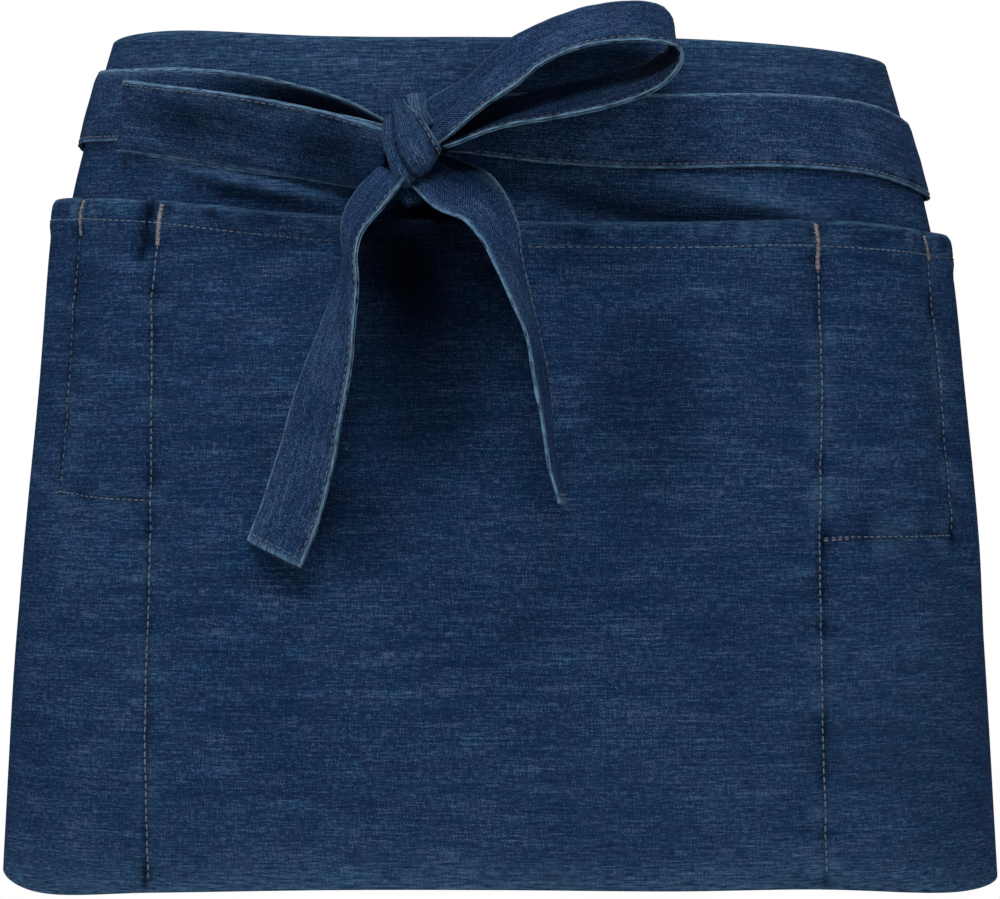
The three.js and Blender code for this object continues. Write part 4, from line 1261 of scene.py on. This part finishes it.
# %% Rows of stitches
STITCH_PITCH = 3.3
STITCH_LENGTH = 2.5
THREAD_RADIUS = 0.34
STITCH_SIDES = 6
STITCH_WANDER = 0.12
STITCH_TONES = 0.35
SPINDLE = np.array([[-1, 0.3, -1.2], [-0.72, 0.85, -0.1], [0, 1, 0.35], [0.72, 0.85, -0.1], [1, 0.3, -1.2]])


def spindles(middles, along, upward, dark, length=STITCH_LENGTH, radius=THREAD_RADIUS):
    """One closed spindle of thread for each middle, lying along its seam with both ends in the cloth."""
    length, radius = (np.broadcast_to(size, len(middles))[:, None] for size in (length, radius))
    along = unit(along)
    upward = unit(upward - along * (upward * along).sum(1, keepdims=True))
    sideways = np.cross(along, upward)
    turns = 2 * np.pi * np.arange(STITCH_SIDES) / STITCH_SIDES
    rings = []
    for station, swell, rise in SPINDLE:
        for turn in turns:
            up = radius * (rise + swell * math.cos(turn))
            side = radius * swell * math.sin(turn)
            reach = station * length / 2
            place = middles + along * reach + upward * up + sideways * side
            rings.append(np.concatenate([place, reach, side, 0 * side, dark[:, None]], axis=1))
    points = np.stack(rings, axis=1)
    count = points.shape[1]
    pattern = tube_faces(len(SPINDLE), STITCH_SIDES)
    faces = [[v + k * count for v in face] for k in range(len(middles)) for face in pattern]
    return {"points": points.reshape(-1, 7), "faces": faces, "inside": [False] * len(faces)}


def at_run(rows, run, places):
    """Rows of numbers along a path, read at distances run along it."""
    return np.stack([np.interp(places, run, column) for column in rows.T], axis=1)


def stitch_row(path, upward, shade, seed, bold=1.0, length=STITCH_LENGTH):
    """Stitches at an even pitch along a path, a little uneven as a machine leaves them."""
    run = path_run(path)
    random = np.random.default_rng(seed)
    count = int(run[-1] / STITCH_PITCH)
    at = (np.arange(count) + 0.5) * STITCH_PITCH + random.normal(0, STITCH_WANDER, count)
    along = at_run(path, run, at + 0.8) - at_run(path, run, at - 0.8)
    along = along + random.normal(0, 0.05, along.shape)
    # Painted shade from the cloth, with the thread's own random tone.
    dark = 1 - (1 - np.interp(at, run, shade)) * (1 - random.uniform(0, STITCH_TONES, count))
    middles = at_run(path, run, at)
    return spindles(middles, along, at_run(upward, run, at), dark, length, THREAD_RADIUS * bold)


print("stitches each", STITCH_PITCH, "mm")

# %% [markdown]
# Rows on the pocket: the mouth hem, two dividers down to the lower edge, and the sides and floors of the
# two tool pockets. Places are given on the flat cloth as they lie on the real one, slightly wavering. The
# thread takes the painted shade of the cloth, and more painted shade darkens it under the knot and at the far
# right of the mouth.

# %% Stitching of the pocket
DIVIDER_BOLD = 1.3
DIVIDER_STITCH = 3.0
# More painted shade on the thread.
THREAD_SHADES = [
    {"at": (-34, -45), "half": (36, 14), "depth": 0.9},
    {"at": (244, -48), "half": (36, 12), "depth": 0.75},
]


def pocket_path(places):
    """A path on the pocket's outer face through places on the cloth, the direction outwards and the shade."""
    corners = np.array(places, float)
    run = path_run(corners)
    fine = np.arange(0, run[-1], 0.6)
    u = np.interp(fine, run, corners[:, 0]) + 0.15 * soft_noise(fine, 0 * fine, 11, 1, 91)
    z = np.interp(fine, run, corners[:, 1]) + 0.15 * soft_noise(fine, 0 * fine, 13, 1, 92)
    off = pocket_front(u, z)[0] + 0.05
    path = on_form(u, z, off)
    return path, on_form(u, z, off + 1) - path, oval_shade(SHADES + THREAD_SHADES, u, z)


mouth_u = np.arange(-358, 345, 3.0)
mouth_z = read_column(EDGES, "mouth", mouth_u, "u") - read_column(EDGES, "stitch", mouth_u, "u")
SEAM_ROWS = [
    np.stack([mouth_u, mouth_z], axis=1),
    [(-197.6, -42), (-200.8, -71), (-201.8, -104), (-203.8, -145)],
    [(-205.8, -146.8), (-186, -148.8), (-168, -149.9), (-150, -150.3)],
    [(205.1, -52), (207.7, -76), (210.2, -107), (211.7, -134), (214.7, -165)],
    [(135.7, -165.8), (146, -165.4), (214, -165.2)],
]
DIVIDER_ROWS = [
    [(-146.4, -45), (-149.4, -67), (-149, -105), (-148.4, -170), (-150.1, -246), (-148, -306)],
    [(135.1, -55), (135.5, -107), (133.8, -160), (134.2, -215), (135.4, -275), (135.8, -304)],
]
seam_shells = [stitch_row(*pocket_path(row), 100 + k) for k, row in enumerate(SEAM_ROWS)]
divider_shells = []
for k, row in enumerate(DIVIDER_ROWS):
    divider_shells.append(stitch_row(*pocket_path(row), 110 + k, DIVIDER_BOLD, DIVIDER_STITCH))
pocket_rows = join_shells(seam_shells + divider_shells)
pocket_stitches = make_piece("pocket_stitching", pocket_rows, seam_thread)

# %% [markdown]
# A bar tack is a dense zigzag of stitches over a seam, where a pocket's mouth takes the strain. There is one
# at the top of each divider and of each tool pocket's outer side. The machine leaves it uneven, so each
# stitch has its own length, slant and tone. The right tool pocket's floor starts with a few stitches sewn
# back over.

# %% Bar tacks
TACK_PITCH = 0.5
TACK_SETTLE_MM = 5
TACK_LENGTHS = (1.9, 2.8)
TACK_RADIUS = 0.4
TACK_LIFT = 0.3
TACK_SLANT = 0.4
TACKS = [
    [(-142.8, -28.9), (-146.6, -46.5)],
    [(133.8, -37.2), (135.2, -57)],
    [(-192.6, -26), (-197.6, -42)],
    [(202.7, -40.5), (205.1, -52)],
]


def bar_tack(places, seed):
    """Short uneven stitches packed across a seam, which lie over the relief of the cloth below."""
    path, upward, shade = pocket_path(places)
    run = path_run(path)
    at = np.arange(0.3, run[-1], TACK_PITCH)
    spread = np.linspace(-TACK_SETTLE_MM / 2, TACK_SETTLE_MM / 2, 9)
    middles = np.mean([at_run(path, run, np.clip(at + step, 0, run[-1])) for step in spread], axis=0)
    out = at_run(upward, run, at)
    along = np.broadcast_to(path[-1] - path[0], out.shape)
    across = unit(np.cross(along, out))
    random = np.random.default_rng(seed)
    zigzag = np.where(np.arange(len(at)) % 2, TACK_SLANT, -TACK_SLANT)[:, None]
    slant = zigzag * unit(along)
    lifted = middles + out * TACK_LIFT + across * random.normal(0, STITCH_WANDER, (len(at), 1))
    length = random.uniform(*TACK_LENGTHS, len(at))
    # Painted shade from the cloth, with the thread's own random tone.
    dark = 1 - (1 - np.interp(at, run, shade)) * (1 - random.uniform(0, 0.5, len(at)))
    along_stitch = across + slant + random.normal(0, 0.15, across.shape)
    return spindles(lifted, along_stitch, out, dark, length, TACK_RADIUS)


sewn_back = stitch_row(*pocket_path([(135.7, -166.7), (149, -166.2)]), 130)
tack_shells = [bar_tack(places, 120 + k) for k, places in enumerate(TACKS)]
tack_rows = join_shells(tack_shells + [sewn_back])
pocket_tacks = make_piece("pocket_bar_tacks", tack_rows, tack_thread)

# %% [markdown]
# Every tie is stitched close to its sewn edge. On the waist ties only the outer face is seen. The loops and
# the ends show both faces, so their stitching is on both. A hanging end is closed by a short row across.

# %% Stitching of the ties
TIE_THREAD = 0.78


def tie_rows(tie, trim, sides, seed):
    """Stitch rows along the sewn edge of a strip, on one or both faces, trimmed where the strip is hidden."""
    face = tie["face"]
    s, run = lengthwise(face, *tie["range"], 0.8)
    kept = (run > trim[0]) & (run < tie["length"] - trim[1])
    s, run = s[kept], run[kept]
    across = np.full_like(run, tie["sewn"] * (tie["width"] / 2 - STITCH_INSET))
    v = across / (tie["width"] / 2)
    wave = slack_wave(run, across, tie)
    rows = []
    for side in sides:
        out = wave + side * (half_thickness(run + 40 * tie["sewn"], STITCH_INSET + 0 * run, 1) + 0.1)
        path = face(s, v, out)
        shade = strip_shade(run, across, tie, side)
        rows.append(stitch_row(path, face(s, v, out + side) - path, shade, seed + side, TIE_THREAD))
    return rows


def tip_rows(tie, inset, sides, seed):
    """A short row of stitches across a tie, close to its free end."""
    face = tie["face"]
    s, run = lengthwise(face, *tie["range"], 0.8)
    place = np.interp(tie["length"] - inset, run, s)
    v = np.linspace(-0.92, 0.92, 60)
    wave = slack_wave(tie["length"] - inset + 0 * v, v * tie["width"] / 2, tie)
    rows = []
    for side in sides:
        path = face(place, v, wave + side * (TIE_THICK / 2 + 0.05))
        upward = face(place, v, wave + side * (TIE_THICK / 2 + 1)) - path
        rows.append(stitch_row(path, upward, 0 * v, seed + side, TIE_THREAD))
    return rows


TIE_STITCHING = [
    {"name": "waist_tie_right_stitching", "tie": right_tie, "trim": (10, 2), "sides": (1,)},
    {"name": "waist_tie_left_stitching", "tie": left_tie, "trim": (2, 10), "sides": (1,)},
    {"name": "bow_loop_left_stitching", "tie": left_loop, "trim": (8, 6), "sides": (-1, 1)},
    {"name": "bow_loop_right_stitching", "tie": right_loop, "trim": (8, 8), "sides": (-1, 1)},
    {"name": "tie_end_left_stitching", "tie": left_end, "trim": (6, 2), "sides": (-1, 1), "tip": 2.6},
    {"name": "tie_end_right_stitching", "tie": right_end, "trim": (5, 2), "sides": (-1, 1), "tip": 2.6},
    {"name": "bow_knot_stitching", "tie": front_wrap, "trim": (5, 7), "sides": (1,)},
]
for k, plan in enumerate(TIE_STITCHING):
    rows = tie_rows(plan["tie"], plan["trim"], plan["sides"], 140 + 10 * k)
    if "tip" in plan:
        rows += tip_rows(plan["tie"], plan["tip"], plan["sides"], 210 + 10 * k)
    make_piece(plan["name"], join_shells(rows), seam_thread)

# %% [markdown]

# %% [markdown]
# ## Camera
# The picture is taken straight from the front, level, from about three metres with a long lens, so the sides
# of the apron hardly converge. The lens follows from the size of the picture: 0.42 mm for each of its 1000
# pixels at the middle of the waist.

# %% The camera
CAMERA_DISTANCE = 3.0
CAMERA_HEIGHT = -0.1296
PIXEL_AT_WAIST = 0.42 * MM
PICTURE_WIDTH = 1000
SENSOR_MM = 36
camera_data = bpy.data.cameras.new("camera")
camera_data.sensor_width = SENSOR_MM
camera_data.lens = SENSOR_MM * CAMERA_DISTANCE / (PIXEL_AT_WAIST * PICTURE_WIDTH)
camera = bpy.data.objects.new("camera", camera_data)
camera.location = (0, -CAMERA_DISTANCE, CAMERA_HEIGHT)
camera.rotation_euler = (math.pi / 2, 0, 0)
bpy.context.scene.collection.objects.link(camera)
bpy.context.scene.camera = camera
print("lens:", round(camera_data.lens, 1), "mm")

# %% [markdown]
# ## Light
# A large soft light stands high in front and a little to the left, so that the knot throws its shadow down on
# the pocket, and a weaker one fills from the right. Two more lift the sides, where the cloth turns away, and
# one lights the back. The surroundings are white to the eye, but light the cloth only faintly, as a bright
# backdrop behind an object does.

# %% Lights and backdrop
BACKDROP_LIGHT = 0.08


def soft_light(name, place, target, size, watts):
    """A soft light of a width and a height that faces its target."""
    data = bpy.data.lights.new(name, "AREA")
    data.shape = "RECTANGLE"
    data.size, data.size_y = size
    data.energy = watts
    light = bpy.data.objects.new(name, data)
    light.location = place
    direction = [t - p for t, p in zip(target, place)]
    light.rotation_euler = Vector(direction).to_track_quat("-Z", "Y").to_euler()
    bpy.context.scene.collection.objects.link(light)


soft_light("key_light", (-0.2, -1.7, 1.7), (0, -0.1, -0.12), (1.5, 0.5), 45)
soft_light("fill_light", (1.3, -2.1, 0.4), (0, 0, -0.15), (1.4, 1.4), 9)
soft_light("left_side_light", (-2.2, -0.5, 0.2), (0, 0, -0.12), (1.2, 1.2), 17)
soft_light("right_side_light", (2.2, -0.5, 0.2), (0, 0, -0.12), (1.2, 1.2), 7)
soft_light("back_light", (0.4, 2.2, 1.6), (0, 0, -0.1), (1.6, 1.6), 40)

world = bpy.data.worlds.new("white_backdrop")
world.use_nodes = True
tree = world.node_tree
backdrop = tree.nodes["Background"]
backdrop.inputs["Color"].default_value = linear("#ffffff")
seen = add_node(tree, "ShaderNodeLightPath")
strength = {"operation": "MULTIPLY_ADD", 1: 1 - BACKDROP_LIGHT, 2: BACKDROP_LIGHT}
white = add_node(tree, "ShaderNodeMath", strength, {0: seen.outputs["Is Camera Ray"]})
tree.links.new(white.outputs[0], backdrop.inputs["Strength"])
bpy.context.scene.world = world
bpy.context.scene.view_settings.view_transform = "Standard"
print("lights:", sorted(light.name for light in bpy.data.lights))

# %% [markdown]
# The floor is pale matt paint, a metre below the waist. Like the backdrop, it looks brighter to the eye than
# the light that it sends up to the cloth, so a part of what the eye sees there is a plain glow.

# %% The floor
FLOOR_HEIGHT = -1.0
FLOOR_HALF = 4.0
FLOOR_COLOUR = "#ecebe8"
FLOOR_ROUGHNESS = 0.9
FLOOR_GLOSS = 0.5
FLOOR_GLOW = 0.9
FLOOR_GLOW_SHARE = 0.75
signs = ((-1, -1), (1, -1), (1, 1), (-1, 1))
corners = [(x * FLOOR_HALF, y * FLOOR_HALF, FLOOR_HEIGHT) for x, y in signs]
floor_mesh = bpy.data.meshes.new("floor")
floor_mesh.from_pydata(corners, [], [(0, 1, 2, 3)])
floor_paint, floor_tree, floor_shader = matt_material("pale_matt_floor", FLOOR_ROUGHNESS, FLOOR_GLOSS)
floor_shader.inputs["Base Color"].default_value = linear(FLOOR_COLOUR)
glow = {"Color": linear(FLOOR_COLOUR), "Strength": FLOOR_GLOW}
floor_glow = add_node(floor_tree, "ShaderNodeEmission", glow)
floor_seen = add_node(floor_tree, "ShaderNodeLightPath")
share = {"operation": "MULTIPLY", 1: FLOOR_GLOW_SHARE}
floor_share = add_node(floor_tree, "ShaderNodeMath", share, {0: floor_seen.outputs["Is Camera Ray"]})
floor_links = {0: floor_share.outputs[0], 1: floor_shader.outputs[0], 2: floor_glow.outputs[0]}
floor_mix = add_node(floor_tree, "ShaderNodeMixShader", links=floor_links)
floor_tree.links.new(floor_mix.outputs[0], floor_tree.nodes["Material Output"].inputs["Surface"])
floor_mesh.materials.append(floor_paint)
floor = bpy.data.objects.new("floor", floor_mesh)
bpy.context.scene.collection.objects.link(floor)
print("floor at", FLOOR_HEIGHT, "m")
